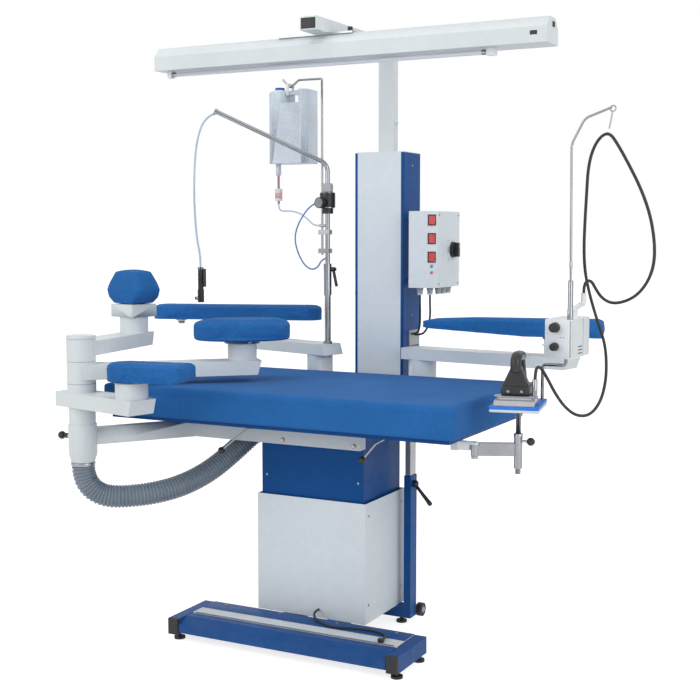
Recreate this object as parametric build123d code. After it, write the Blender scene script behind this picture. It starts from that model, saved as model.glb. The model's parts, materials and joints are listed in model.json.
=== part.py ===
from build123d import *
import math
import os

# Vacuum ironing station: height-adjustable table with a rear column, swinging forms, an iron rest with
# its steam unit, a spray rig and a lamp.  Millimetres, +Z up, -Y is the operator's side, z = 0 is the floor.
# The sizes below are measured from the pedestal; each sub-part is moved to the origin as it is saved.

# ---------------------------------------------------------------- driving dimensions
FIT = 0.05  # radial running clearance of a shaft in its bore
SOFT_GAP = 0.3  # between a cushion and what carries it
SIDE_GAP = 3.0  # between parts that pass each other
SHEET = 2.0  # folded sheet metal
ORIGIN = (10, 29)  # middle of the station's box, from the pedestal's axis

TABLE_X1, TABLE_Y0, TABLE_Y1 = 654, -360, 385  # right end, front edge, rear edge
NOSE_X, NOSE_Y, SHOULDER_X = -720, -120, -500  # left end of the table, where its curve starts, where it ends
TABLE_TOP, SKIRT_HEIGHT = 899, 112
PAD_SKIRT = 25  # thickness of the padding on every side of the tray
TRAY_BOTTOM, TRAY_WALL = 775, 2
LEVER_Y, LEVER_Z, LEFT_LEVER_X, RIGHT_LEVER_X = -205, 760, -186, 356  # damper levers under the tray
LEVER_ROD_R, LEVER_BALL_R = 3.5, 13

COVER_X, COVER_Y0, COVER_Y1 = 220, -105, 220  # lower cover of the pedestal
COVER_Z0, COVER_Z1 = 65, 497
HOUSING_INSET, HOUSING_Z0 = 13, 330
LIFT_Y, LIFT_R, LIFT_Z1 = 57, 60, 480  # telescopic lift: axis, outer radius, top of the outer tube
LIFT_INNER_R, LIFT_INNER_Z0 = 52, 190
FAN_X0, FAN_X1, FAN_Z, FAN_R = 66, 136, 640, 110

FRAME_X0, FRAME_X1, FRAME_Y0, FRAME_Y1 = -415, 481, -398, -162
FRAME_Z0, FRAME_Z1, TUBE_W, TUBE_WALL = 25, 82, 40, 3
RUNNER_X, RUNNER_W = 70, 40  # the two runners under the pedestal
POST_GAP, POST_W = 32, 27  # side posts: gap to the lower cover, width
POST_X0, POST_X1 = COVER_X + POST_GAP, COVER_X + POST_GAP + POST_W
POST_Y0, POST_Y1, POST_TOP = 148, 202, 558
CAP_DEPTH, FOOT_R, FOOT_H = 12, 20, 8
WHEEL_R, WHEEL_Y, WHEEL_Z, WHEEL_W, AXLE_R = 25, 228, 40, 20, 6
PEDAL_SHEET, PEDAL_PIVOT_Y, PEDAL_PIVOT_Z, PEDAL_PIN_R = 6, -322, 66, 5

BEAM_Y, BEAM_D, BEAM_Z0, BEAM_Z1 = -135, 43, 690, 750
BEAM_X1, BEAM_BEND_X = 214, -478
ARM_AXIS = (-722, -470)  # vertical axis of the left arm column
TUBE_R, SLEEVE_WALL, SLEEVE_Z0, SLEEVE_Z1 = 47, 3.5, 659, 767
TUBE_Z0, TUBE_Z1, SPINDLE_R, CAP_Z, CAP_H = 700, 828, 30, 1070, 11
REDUCER_Z0, HOSE_R = 630, 41.5
ARM_W, HUB_PIN_R, HUB_PIN_L, HUB_WALL = 108, 12, 30, 4
HUB_GAP = 0.5
STAND_4, STAND_5 = (-260, 445), (190, 449)
ARMS = {
    # heading, reach to the form's hub, tail behind the axis, box z0 and z1, radii of the hub and the tip
    "arm_1": dict(
        xy=ARM_AXIS, heading=100.1, reach=406, tail=0, z0=1010, z1=1061, hub_r=51, tip_r=54, tip_z=1122
    ),
    "arm_2": dict(
        xy=ARM_AXIS, heading=43.1, reach=578, tail=0, z0=927, z1=979, hub_r=51, tip_r=53, tip_z=1040
    ),
    "arm_3": dict(
        xy=ARM_AXIS, heading=-14.0, reach=280, tail=82, z0=829, z1=881, hub_r=51, tip_r=56, tip_z=935
    ),
    "arm_4": dict(
        xy=STAND_4, heading=163.0, reach=340, tail=62, z0=957, z1=1001, hub_r=52, tip_r=52, tip_z=1070
    ),
    "arm_5": dict(
        xy=STAND_5, heading=-8.2, reach=575, tail=64, z0=957, z1=1001, hub_r=54, tip_r=52, tip_z=1062
    ),
}
HUB_SPANS = {"arm_1": (990.5, 1069.5), "arm_2": (911.5, 989.5), "arm_3": (829, 910.5)}
TIP_OVERHANG, END_SLOPE = 62, 15

COLUMN_X, COLUMN_Y0, COLUMN_Y1, COLUMN_Z0, COLUMN_Z1 = 105, 455, 610, 660, 1755
COLUMN_COVER = 3
LAMP_POST_X, LAMP_POST_Y0, LAMP_POST_Y1, LAMP_POST_Z0 = 33, 515, 552, 1500
BRACKET_Y0, BRACKET_Z0, BRACKET_Z1 = -109, 2137, 2183
LAMP_X0, LAMP_X1, LAMP_Y0, LAMP_Y1 = -690, 837, -55, 60
LAMP_Z0, LAMP_CREASE, LAMP_Z1 = 2045, 2096, 2130
LAMP_TUBE_R, LAMP_TUBE_Z = 8, 2034
LAMP_SWITCH = (792, LAMP_Y0, 2077)

BOX_X0, BOX_X1, BOX_Y0, BOX_Y1, BOX_Z0, BOX_Z1, BOX_CHAMFER = 154, 259, 395, 645, 1233, 1524, 36
ROCKER_W, ROCKER_H, ROCKER_D = 24, 33, 10
ROCKER_Z = {"rocker_top": 1490, "rocker_middle": 1420, "rocker_low": 1350}
SWITCH_Y, SWITCH_Z = 556, 1377

REST_PIVOT = (672, -223)  # where the iron rest swings from the bracket under the table
REST_POST = (798, -165)
REST_LINK_Z0, REST_LINK_Z1, REST_LINK_T = 728, 770, 18
REST_SLEEVE_R, REST_POST_R, REST_SLEEVE_Z0, REST_SLEEVE_Z1, REST_POST_Z0 = 13.5, 8.75, 688, 800, 670
PLATE_L, PLATE_W, PLATE_T, MAT_T, PLATE_TOP, PLATE_TURN = 230, 156, 8, 10, 900, 11.5
PLATE_CENTRE = (795, -158)
UNIT_X0, UNIT_X1, UNIT_Y0, UNIT_Y1, UNIT_Z0, UNIT_Z1 = 847, 937, -60, 135, 1036, 1163
MAST_XY, MAST_R, ROD_R = (927, -50), 4, 5.5
ROD_FOOT, ROD_Z, ROD_TOP_X = (838, -50), 1014, 916
KNOB_X, STEAM_KNOB_Z, HEAT_KNOB_Z = 881, 1137, 1075
IRON_SOLE_Z0, IRON_HALF, IRON_HEEL, IRON_TIP = PLATE_TOP, 64, -104, 100  # about the plate's centre
IRON_TUBE_TOP, HOSE_END_X, HOSE_END_Y = 985, 61, -80.8

SPRAY_XY, SPRAY_R, SPRAY_SLEEVE_R = (-217, 432), 12.5, 16
SPRAY_Z0, SPRAY_SLEEVE_Z0, SPRAY_SLEEVE_Z1, BOOM_R = 1001, 1195, 1320, 9
BOOM_TIP, BOOM_Z = (-609, 245, 1916), 1713
POLE_XY, POLE_R = (-241, 432), 4.5
HOOK_X, HOOK_Z, HANDLE_HALF = -432, 2046, 18
CAN_X0, CAN_X1, CAN_Y, CAN_D, CAN_Z0, CAN_Z1 = -506, -328, 512, 116, 1723, 2016

# centre lines of the hoses and cables, from where each leaves the station
SUCTION_HOSE = [
    (-722, -470, 630), (-722, -470, 578), (-699, -455, 530), (-659, -429, 503), (-606, -394, 499),
    (-541, -336, 503), (-484, -264, 515), (-440, -192, 538), (-402, -124, 572), (-371, -66, 613),
    (-340, -14, 656), (-310, 22, 694), (-264, 45, 712), (-212, 45, 712),
]
PEDAL_CABLE = [
    (34, -105, 96), (34, -138, 96), (56, -180, 92), (100, -218, 90), (160, -240, 89), (226, -222, 90),
    (291, -207, 89), (344, -222, 90), (372, -248, 90), (372, -284, 90),
]
CABLE_A = [
    (182, 440, 1205), (182, 440, 1172), (176, 456, 1130), (166, 478, 1092), (150, 504, 1062), (128, 524, 1046),
    (109, 524, 1046),
]
CABLE_B = [
    (214, 462, 1205), (214, 462, 1175), (209, 478, 1135), (194, 505, 1098), (168, 536, 1062), (138, 556, 1040),
    (109, 556, 1040),
]
STEAM_HOSE = [
    (957, -5, 1247), (957, -5, 1270), (967, -6, 1288), (983, -8, 1286), (996, -10, 1264),
    (1018, -14, 1233),
    (1056, -25, 1216), (1105, -42, 1226), (1146, -54, 1250), (1178, -56, 1294), (1194, -55, 1350),
    (1192, -55, 1420), (1176, -55, 1500), (1146, -55, 1578), (1108, -54, 1650), (1072, -51, 1712),
    (1043, -46, 1752), (1014, -40, 1744), (985, -28, 1706), (966, -12, 1648), (958, 4, 1570), (950, 18, 1480),
    (942, 38, 1396), (936, 72, 1320), (940, 106, 1254), (954, 128, 1184), (976, 124, 1126), (1001, 98, 1076),
    (1020, 54, 1022), (1034, -2, 962), (1030, -44, 902), (1007, -82, 862), (972, -114, 862), (940, -136, 892),
    (916, -152, 932), (900, -170, 972), (888, -190, 1006), (879, -211, 1026), (871, -225, 1016),
    (871, -225, 964),
]
STEAM_HOSE_R = 5
SPRAY_HOSE = [
    (-626, 244, 1910), (-650, 243, 1902), (-678, 240, 1874), (-696, 237, 1829), (-708, 234, 1765),
    (-713, 231, 1682), (-714, 229, 1590), (-709, 227, 1496), (-700, 226, 1412), (-684, 225, 1350),
    (-684, 225, 1305),
]
SPRAY_HOSE_R = 4
FEED_HOSE = [
    (-489, 512, 1562), (-489, 512, 1546), (-479, 510, 1534), (-461, 505, 1531), (-436, 497, 1532),
    (-398, 480, 1529), (-352, 460, 1518), (-309, 441, 1494), (-279, 432, 1471), (-253, 432, 1471),
]
BLUE_AIR_HOSE = [
    (-258, 421, 1562), (-284, 414, 1550), (-315, 408, 1513), (-344, 407, 1464), (-354, 407, 1415),
    (-339, 408, 1360), (-312, 411, 1314), (-282, 418, 1294), (-258, 428, 1306), (-246, 432, 1334),
    (-228, 432, 1340),
]
FEED_R = 3


# ---------------------------------------------------------------- helpers
def block(x0, x1, y0, y1, z0, z1):
    """Box between two corners."""
    return Pos((x0 + x1) / 2, (y0 + y1) / 2, (z0 + z1) / 2) * Box(abs(x1 - x0), abs(y1 - y0), abs(z1 - z0))


def bar(start, end, radius):
    """Round bar from one point to another."""
    a, b = Vector(*start), Vector(*end)
    upright = Cylinder(radius, (b - a).length, align=(Align.CENTER, Align.CENTER, Align.MIN))
    return Plane(origin=a, z_dir=b - a) * upright


def post(xy, radius, z0, z1):
    """Upright round post."""
    return bar((xy[0], xy[1], z0), (xy[0], xy[1], z1), radius)


def pipe(xy, outer, inner, z0, z1):
    """Upright round tube."""
    return post(xy, outer, z0, z1) - post(xy, inner, z0 - 1, z1 + 1)


def shell(x0, x1, y0, y1, z0, z1, wall, top=False, bottom=False):
    """Folded sheet box, open at the top and the bottom unless they are asked for."""
    inner_top = z1 - wall if top else z1 + 1
    inner_bottom = z0 + wall if bottom else z0 - 1
    return block(x0, x1, y0, y1, z0, z1) - block(
        x0 + wall, x1 - wall, y0 + wall, y1 - wall, inner_bottom, inner_top
    )


def hollow(x0, x1, y0, y1, z0, z1, wall):
    """Closed box with an even wall."""
    return shell(x0, x1, y0, y1, z0, z1, wall, top=True, bottom=True)


def profile_along_x(points, x0, x1):
    """Outline in the Y-Z plane, drawn out along X."""
    return Pos(x0, 0, 0) * extrude(Plane.YZ * make_face(Polyline(*points, close=True)), x1 - x0)


def plan(points, z0, z1):
    """Outline in plan, drawn up."""
    return Pos(0, 0, z0) * extrude(make_face(Polyline(*points, close=True)), z1 - z0)


def turned(solid, xy, degrees):
    """Solid drawn about the origin, turned about Z and carried to xy."""
    return Pos(xy[0], xy[1], 0) * Rot(0, 0, degrees) * solid


def polar(xy, degrees, reach):
    """Point at a distance and heading from xy."""
    a = math.radians(degrees)
    return (xy[0] + reach * math.cos(a), xy[1] + reach * math.sin(a))


def cord(name, points, radius):
    """Tube along straight runs joined by tangent arcs; prints the arc radii in diameters."""
    pts = [Vector(*p) for p in points]
    radii = []
    for before, here, after in zip(pts, pts[1:], pts[2:]):
        turn = (here - before).get_angle(after - here)
        run = min((here - before).length, (after - here).length)
        radii.append(0.45 * run / math.tan(math.radians(turn) / 2))
    path = FilletPolyline(*pts, radius=radii)
    start = Plane(origin=pts[0], z_dir=pts[1] - pts[0])
    tube = sweep(start * Circle(radius), path=path)
    ratio = tube.volume / (math.pi * radius**2 * path.length)
    print(
        f"{name}: length {path.length:.0f}, volume over section times length {ratio:.3f}, "
        f"radii in diameters {[round(r / radius / 2, 1) for r in radii]}"
    )
    return tube


def ball(centre, rod, radius):
    """Ball knob on a rod that runs the way of the vector rod, with a small flat at each pole."""
    return Plane(origin=centre, z_dir=rod) * Sphere(radius, arc_size1=-80, arc_size2=80)


def stub(points, length, radius):
    """Fitting that meets a cord's first point square on; a reversed list gives the one at its far end."""
    end, inner = Vector(*points[0]), Vector(*points[1])
    return bar(end, end + (end - inner).normalized() * length, radius)


def save(name, *solids):
    """Write one sub-part as a STEP file."""
    flat = [Pos(-ORIGIN[0], -ORIGIN[1], 0) * s for item in solids for s in item.solids()]
    export_step(Compound(children=flat) if len(flat) > 1 else flat[0], f"parts/{name}.step")


# ---------------------------------------------------------------- foot frame and pedestal
def foot_frame():
    """Welded frame: side tubes open at the front, cross tubes, runners and the two side posts."""
    frame = hollow(
        FRAME_X0 + TUBE_W, FRAME_X1 - TUBE_W, FRAME_Y1 - TUBE_W, FRAME_Y1, FRAME_Z0, FRAME_Z1, TUBE_WALL
    )
    for x in (FRAME_X0, FRAME_X1 - TUBE_W):
        tube = block(x, x + TUBE_W, FRAME_Y0 + CAP_DEPTH, FRAME_Y1, FRAME_Z0, FRAME_Z1)
        frame += tube - block(
            x + TUBE_WALL, x + TUBE_W - TUBE_WALL, FRAME_Y0, FRAME_Y1 - TUBE_W,
            FRAME_Z0 + TUBE_WALL, FRAME_Z1 - TUBE_WALL,
        )
    for side in (-1, 1):
        x0, x1 = sorted((side * RUNNER_X, side * (RUNNER_X + RUNNER_W)))
        frame += hollow(x0, x1, FRAME_Y1, POST_Y0, FRAME_Z0, COVER_Z0, TUBE_WALL)
    frame += hollow(-POST_X1, POST_X1, POST_Y0, POST_Y1, FRAME_Z0, COVER_Z0, TUBE_WALL)
    for side in (-1, 1):
        x0, x1 = sorted((side * POST_X0, side * POST_X1))
        outer = block(x0, x1, POST_Y0, POST_Y1, FRAME_Z0, POST_TOP)
        cavity = block(
            x0 + TUBE_WALL, x1 - TUBE_WALL, POST_Y0 + TUBE_WALL, POST_Y1 - TUBE_WALL, COVER_Z0, POST_TOP + 1
        )
        lug = block(x0 + 6, x1 - 6, POST_Y1, WHEEL_Y + AXLE_R + 6, FRAME_Z0 + 3, WHEEL_Z + AXLE_R + 6)
        frame += outer + lug
        frame -= cavity
    frame -= bar((-POST_X1, WHEEL_Y, WHEEL_Z), (POST_X1, WHEEL_Y, WHEEL_Z), AXLE_R + FIT)
    return frame - pedal_pin(FIT, 0)


def pedal_pin(clearance, inset):
    """Hinge pin of the pedal, through the inner walls of the side tubes."""
    reach = TUBE_WALL + 5 - inset
    return bar(
        (FRAME_X0 + TUBE_W - reach, PEDAL_PIVOT_Y, PEDAL_PIVOT_Z),
        (FRAME_X1 - TUBE_W + reach, PEDAL_PIVOT_Y, PEDAL_PIVOT_Z),
        PEDAL_PIN_R + clearance,
    )


def rubber_feet():
    """Plugs in the open tube ends and the levelling feet."""
    pieces = []
    for x in (FRAME_X0, FRAME_X1 - TUBE_W):
        pieces.append(block(x, x + TUBE_W, FRAME_Y0, FRAME_Y0 + CAP_DEPTH, FRAME_Z0, FRAME_Z1))
    for x in (FRAME_X0 + TUBE_W / 2, FRAME_X1 - TUBE_W / 2):
        pieces += [levelling_foot(x, FRAME_Y0 + CAP_DEPTH + 30), levelling_foot(x, FRAME_Y1 - TUBE_W / 2)]
    for side in (-1, 1):
        pieces.append(levelling_foot(side * (POST_X0 - 20), (POST_Y0 + POST_Y1) / 2))
    return pieces


def levelling_foot(x, y):
    """Foot pad with its threaded stem."""
    return post((x, y), FOOT_R, 0, FOOT_H) + post((x, y), 6, FOOT_H, FRAME_Z0)


def pedal_bar():
    """Folded pedal across the front of the frame, with its hinge pin."""
    x0, x1 = FRAME_X0 + TUBE_W + SIDE_GAP, FRAME_X1 - TUBE_W - SIDE_GAP
    t = PEDAL_SHEET
    sheet = profile_along_x(
        [
            (FRAME_Y0 + 4, FRAME_Z0 + 8), (FRAME_Y0 + 4, FRAME_Z0 + 38), (-345, FRAME_Z1), (-310, FRAME_Z1),
            (-310, FRAME_Z1 - t), (-345 + 2, FRAME_Z1 - t), (FRAME_Y0 + 4 + t, FRAME_Z0 + 34),
            (FRAME_Y0 + 4 + t, FRAME_Z0 + 8),
        ],
        x0, x1,
    )
    boss = bar((x0, PEDAL_PIVOT_Y, PEDAL_PIVOT_Z), (x1, PEDAL_PIVOT_Y, PEDAL_PIVOT_Z), 11)
    return sheet + boss + pedal_pin(0, 0.5)


def pedal_cover():
    """Cover strip behind the pedal with its screws."""
    x0, x1 = FRAME_X0 + TUBE_W + SIDE_GAP, FRAME_X1 - TUBE_W - SIDE_GAP
    y0, z = -304, FRAME_Z1
    pieces = [block(x0, x1, y0, FRAME_Y1, z, z + SHEET) + block(x0, x1, y0, y0 + SHEET, z - 20, z)]
    for i in range(4):
        x = x0 + 60 + i * (x1 - x0 - 120) / 3
        pieces.append(post((x, FRAME_Y1 - TUBE_W / 2), 5, z + SHEET, z + SHEET + 2))
    cx, cy, cz = PEDAL_CABLE[-1]
    pieces.append(block(cx - 9, cx + 9, cy - 14, cy, z + SHEET, cz + 7))
    return pieces


def lower_cover():
    """White sheet cover of the pedestal."""
    return shell(-COVER_X, COVER_X, COVER_Y0, COVER_Y1, COVER_Z0, COVER_Z1, SHEET)


def wheel_set():
    """Two transport wheels on their axle, behind the side posts."""
    inner = POST_X1 - 6 + 3
    pieces = [bar((-inner - WHEEL_W, WHEEL_Y, WHEEL_Z), (inner + WHEEL_W, WHEEL_Y, WHEEL_Z), AXLE_R)]
    for side in (-1, 1):
        ends = ((side * inner, WHEEL_Y, WHEEL_Z), (side * (inner + WHEEL_W), WHEEL_Y, WHEEL_Z))
        pieces.append(bar(*ends, WHEEL_R) - bar((-400, WHEEL_Y, WHEEL_Z), (400, WHEEL_Y, WHEEL_Z), AXLE_R))
    return pieces


def lift_motor():
    """Base plate, outer lift tube and gear motor inside the pedestal."""
    plate = block(-150, 150, COVER_Y0 + 30, COVER_Y1 - 30, COVER_Z0, COVER_Z0 + 10)
    tube = pipe((0, LIFT_Y), LIFT_R, LIFT_INNER_R + 0.4, COVER_Z0 + 10, LIFT_Z1)
    motor = block(75, 140, LIFT_Y - 45, LIFT_Y + 45, COVER_Z0 + 10, 215)
    gearbox = block(LIFT_R - 4, 75, LIFT_Y - 30, LIFT_Y + 30, COVER_Z0 + 10, 150)
    return plate + tube + motor + (gearbox - post((0, LIFT_Y), LIFT_R - 2, 0, 300))


def clamp_lever():
    """Clamp lever of the right guide: boss, shank and handle."""
    y, z = (POST_Y0 + POST_Y1) / 2, POST_TOP - 32
    boss = bar((POST_X1, y, z), (POST_X1 + 16, y, z), 13)
    return boss + bar((POST_X1 + 10, y, z), (POST_X1 + 66, y - 6, z - 66), 8)


def upper_housing():
    """Blue telescoping housing under the table, with the suction collar on its left side."""
    x, y0, y1 = COVER_X - HOUSING_INSET, COVER_Y0 + HOUSING_INSET, COVER_Y1 - HOUSING_INSET
    box = shell(-x, x, y0, y1, HOUSING_Z0, TRAY_BOTTOM, SHEET, top=True)
    end = SUCTION_HOSE[-1]
    collar = bar(end, (-x + 1, end[1], end[2]), HOSE_R + 3)
    bore = bar((end[0] - 1, end[1], end[2]), (-x + SHEET + 1, end[1], end[2]), HOSE_R - 3)
    return box + collar - bore


def guide_rails():
    """Inner lift tube and the two bright slides that run in the side posts."""
    pieces = [pipe((0, LIFT_Y), LIFT_INNER_R, LIFT_INNER_R - 5, LIFT_INNER_Z0, TRAY_BOTTOM - SHEET)]
    play = TUBE_WALL + 0.3
    for side in (-1, 1):
        x0, x1 = sorted((side * (POST_X0 + play), side * (POST_X1 - play)))
        pieces.append(block(x0, x1, POST_Y0 + play, POST_Y1 - play, 300, TRAY_BOTTOM))
    return pieces


def suction_fan():
    """Fan casing with its outlet neck, and the motor bolted to the housing wall."""
    wall = 3
    case = bar((FAN_X0, LIFT_Y, FAN_Z), (FAN_X1, LIFT_Y, FAN_Z), FAN_R)
    case -= bar((FAN_X0 + wall, LIFT_Y, FAN_Z), (FAN_X1 - wall, LIFT_Y, FAN_Z), FAN_R - wall)
    neck = post(((FAN_X0 + FAN_X1) / 2, LIFT_Y), 26, FAN_Z + FAN_R - 6, TRAY_BOTTOM - SHEET)
    case += neck - bar((FAN_X0 + wall, LIFT_Y, FAN_Z), (FAN_X1 - wall, LIFT_Y, FAN_Z), FAN_R - wall)
    motor = bar((FAN_X1, LIFT_Y, FAN_Z), (COVER_X - HOUSING_INSET - SHEET, LIFT_Y, FAN_Z), 58)
    shaft_way = bar((FAN_X1 - wall - 1, LIFT_Y, FAN_Z), (FAN_X1 + 30, LIFT_Y, FAN_Z), 8 + FIT)
    return case + motor - shaft_way


def impeller():
    """Fan wheel with blades on its shaft."""
    x0, x1 = FAN_X0 + 12, FAN_X1 - 14
    back = bar((x1 - 4, LIFT_Y, FAN_Z), (x1, LIFT_Y, FAN_Z), FAN_R - 16)
    shaft = bar((x0, LIFT_Y, FAN_Z), (FAN_X1 + 29, LIFT_Y, FAN_Z), 8)
    wheel = back + shaft + bar((x0, LIFT_Y, FAN_Z), (x1, LIFT_Y, FAN_Z), 20)
    for i in range(8):
        blade = block(x0, x1 - 2, LIFT_Y - 2, LIFT_Y + 2, FAN_Z + 18, FAN_Z + FAN_R - 18)
        wheel += blade.rotate(Axis((0, LIFT_Y, FAN_Z), (1, 0, 0)), i * 45)
    return wheel


# ---------------------------------------------------------------- table
def table_face(inset):
    """Plan of the table: straight front and right, with the rear left curving in to the nose."""
    edge = Polyline(
        (NOSE_X, NOSE_Y), (NOSE_X, TABLE_Y0), (TABLE_X1, TABLE_Y0), (TABLE_X1, TABLE_Y1), (SHOULDER_X, TABLE_Y1)
    )
    middle = (NOSE_X * 0.67 + SHOULDER_X * 0.33, (NOSE_Y + TABLE_Y1) / 2 + 26)
    face = make_face([*edge.edges(), ThreePointArc((SHOULDER_X, TABLE_Y1), middle, (NOSE_X, NOSE_Y))])
    return offset(face, amount=-inset, kind=Kind.INTERSECTION) if inset else face


def table_layer(inset, z0, z1):
    """Slab with the table's plan."""
    return Pos(0, 0, z0) * extrude(table_face(inset), z1 - z0)


def table_pad():
    """Padding and cover over the top and the sides of the tray."""
    slab = table_layer(0, TABLE_TOP - SKIRT_HEIGHT, TABLE_TOP)
    return slab - table_layer(PAD_SKIRT, TABLE_TOP - SKIRT_HEIGHT - 1, TABLE_TOP - PAD_SKIRT)


def lever_lug(x, z):
    """Two ears under the tray that hold a lever's pivot."""
    y = LEVER_Y
    ears = block(x - 9, x + 9, y - 9, y + 9, z - 9, TRAY_BOTTOM)
    ears -= block(x - 10, x + 10, y - 4.3, y + 4.3, 0, TRAY_BOTTOM - 2)
    return ears - bar((x, y - 20, z), (x, y + 20, z), 3 + FIT)


def table_tray():
    """Hollow vacuum tray with the ears of the two damper levers."""
    inset, top = PAD_SKIRT + SOFT_GAP, TABLE_TOP - PAD_SKIRT - SOFT_GAP
    tray = table_layer(inset, TRAY_BOTTOM, top)
    tray -= table_layer(inset + TRAY_WALL, TRAY_BOTTOM + TRAY_WALL, top - TRAY_WALL)
    for x in (LEFT_LEVER_X, RIGHT_LEVER_X):
        tray += lever_lug(x, LEVER_Z)
    return tray


def lever(x, bends):
    """Damper lever: eye and pin at its pivot, bent rod and ball."""
    y, z = LEVER_Y, LEVER_Z
    body = bar((x, y - 4, z), (x, y + 4, z), 7.5) + bar((x, y - 9, z), (x, y + 9, z), 3)
    points = [(x, y, z), *[(bx, y, bz) for bx, bz in bends]]
    if len(points) == 2:
        body += bar(*points, LEVER_ROD_R)
    else:
        start = Plane(origin=points[0], z_dir=Vector(*points[1]) - Vector(*points[0]))
        body += sweep(start * Circle(LEVER_ROD_R), path=FilletPolyline(*points, radius=12))
    return body + ball(points[-1], Vector(*points[-1]) - Vector(*points[-2]), LEVER_BALL_R)


def lever_left():
    """Left damper lever."""
    return lever(LEFT_LEVER_X, [(-309, 661)])


def lever_right():
    """Right damper lever."""
    return lever(RIGHT_LEVER_X, [(308, 733), (259, 676)])


def arm_beam():
    """Bent beam to the arm sleeve, its bolts, the rear bracket with two arm stands and the rest's bracket."""
    half = BEAM_D / 2
    c = (BEAM_X1, BEAM_Y + half), (BEAM_BEND_X, BEAM_Y + half), ARM_AXIS
    run = Vector(*ARM_AXIS) - Vector(*c[1])
    d = run.normalized()
    n = Vector(-d.Y, d.X)
    bevel = half * math.tan((math.atan2(-d.Y, -d.X)) / 2)
    outline = [
        (c[0][0], c[0][1] - half), (c[1][0] + bevel, c[1][1] - half),
        tuple(Vector(*ARM_AXIS) + n * half)[:2], tuple(Vector(*ARM_AXIS) - n * half)[:2],
        (c[1][0] - bevel, c[1][1] + half), (c[0][0], c[0][1] + half),
    ]
    inside = offset(make_face(Polyline(*outline, close=True)), amount=-TUBE_WALL, kind=Kind.INTERSECTION)
    beam = plan(outline, BEAM_Z0, BEAM_Z1)
    cavity = Pos(0, 0, BEAM_Z0 + TUBE_WALL) * extrude(inside, BEAM_Z1 - BEAM_Z0 - 2 * TUBE_WALL)
    beam -= cavity - post(ARM_AXIS, TUBE_R + 2 * SLEEVE_WALL, 0, 1200)
    beam -= post(ARM_AXIS, TUBE_R + SLEEVE_WALL, 0, 1200)
    pieces = [beam]
    for x in (-95, 190):
        pieces.append(bar((x, BEAM_Y, 705), (x, BEAM_Y - 6, 705), 8))
    housing_y = COVER_Y1 - HOUSING_INSET
    bracket = hollow(-60, 60, housing_y, COLUMN_Y0, BEAM_Z0, BEAM_Z1, TUBE_WALL)
    bracket += hollow(STAND_4[0], STAND_5[0], COLUMN_Y0 - 56, COLUMN_Y0 - 1, BEAM_Z0 + 10, BEAM_Z1, TUBE_WALL)
    for xy, arm in ((STAND_4, ARMS["arm_4"]), (STAND_5, ARMS["arm_5"])):
        top = arm["z0"] - HUB_GAP
        bracket += post(xy, arm["hub_r"], BEAM_Z0 + 10, top)
        bracket -= post(xy, arm["hub_r"] - 4, BEAM_Z0 + 14, top - 80)
        bracket -= post(xy, SPINDLE_R + FIT, top - 66, top + 1)
    pieces.append(bracket)
    x, y = REST_PIVOT
    arm = block(x - 72, x, y - 14, y + 14, 745, TRAY_BOTTOM - 3) + post(REST_PIVOT, 14, 745, TRAY_BOTTOM - 3)
    arm += block(x - 72, x - 47, y - 30, y + 14, 745, TRAY_BOTTOM)
    arm -= block(x - 15, x + 20, y - 20, y + 20, REST_LINK_Z0, REST_LINK_Z1 - 7 + HUB_GAP)
    pieces.append(arm - post(REST_PIVOT, 6 + FIT, 700, 800))
    return pieces


# ---------------------------------------------------------------- arms and forms
def arm(name):
    """Box arm with its main hub or spindle and the hub that carries its form."""
    a = ARMS[name]
    far, tail, slope = a["reach"] + TIP_OVERHANG, a["tail"], END_SLOPE
    lean = slope if name == "arm_4" else 0
    side = [(-tail, a["z1"]), (far, a["z1"]), (far - slope, a["z0"]), (-tail - lean, a["z0"])]
    body = side_profile(side, ARM_W / 2)
    half = ARM_W / 2 - SHEET
    cavity = block(a["hub_r"], far - slope - SHEET, -half, half, a["z0"] + SHEET, a["z1"] - SHEET)
    body -= cavity - post((0, 0), a["hub_r"], 0, 1200)
    body += post((a["reach"], 0), a["tip_r"], a["z1"], a["tip_z"])
    body -= post((a["reach"], 0), a["tip_r"] - HUB_WALL, a["z1"] + 1, a["tip_z"] - HUB_PIN_L - HUB_WALL)
    body -= post((a["reach"], 0), HUB_PIN_R + FIT, a["tip_z"] - HUB_PIN_L - 1, a["tip_z"] + 1)
    if name in HUB_SPANS:
        body += post((0, 0), a["hub_r"], *HUB_SPANS[name])
        body -= post((0, 0), SPINDLE_R + FIT, 0, 1200)
    else:
        body += post((0, 0), SPINDLE_R, a["z0"] - 60, a["z0"])
    return turned(body, a["xy"], a["heading"])


def arm_sleeve():
    """Sleeve at the end of the beam, with the reducer to the suction hose and the clamp screw's boss."""
    outer = TUBE_R + SLEEVE_WALL
    sleeve = pipe(ARM_AXIS, outer, TUBE_R + FIT, SLEEVE_Z0, SLEEVE_Z1)
    height = SLEEVE_Z0 - REDUCER_Z0
    cone = Cone(HOSE_R, outer, height, align=(Align.CENTER, Align.CENTER, Align.MIN))
    cone -= Cone(HOSE_R - 4, TUBE_R + FIT, height, align=(Align.CENTER, Align.CENTER, Align.MIN))
    sleeve += Pos(*ARM_AXIS, REDUCER_Z0) * cone
    x, y = ARM_AXIS
    screw = bar((x - TUBE_R - 2, y, 718), (x - outer - 36, y, 718), 6)
    knob = screw + ball((x - outer - 44, y, 718), (-1, 0, 0), 14)
    return [sleeve - bar((x, y, 718), (x - outer - 30, y, 718), 6), knob]


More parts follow.
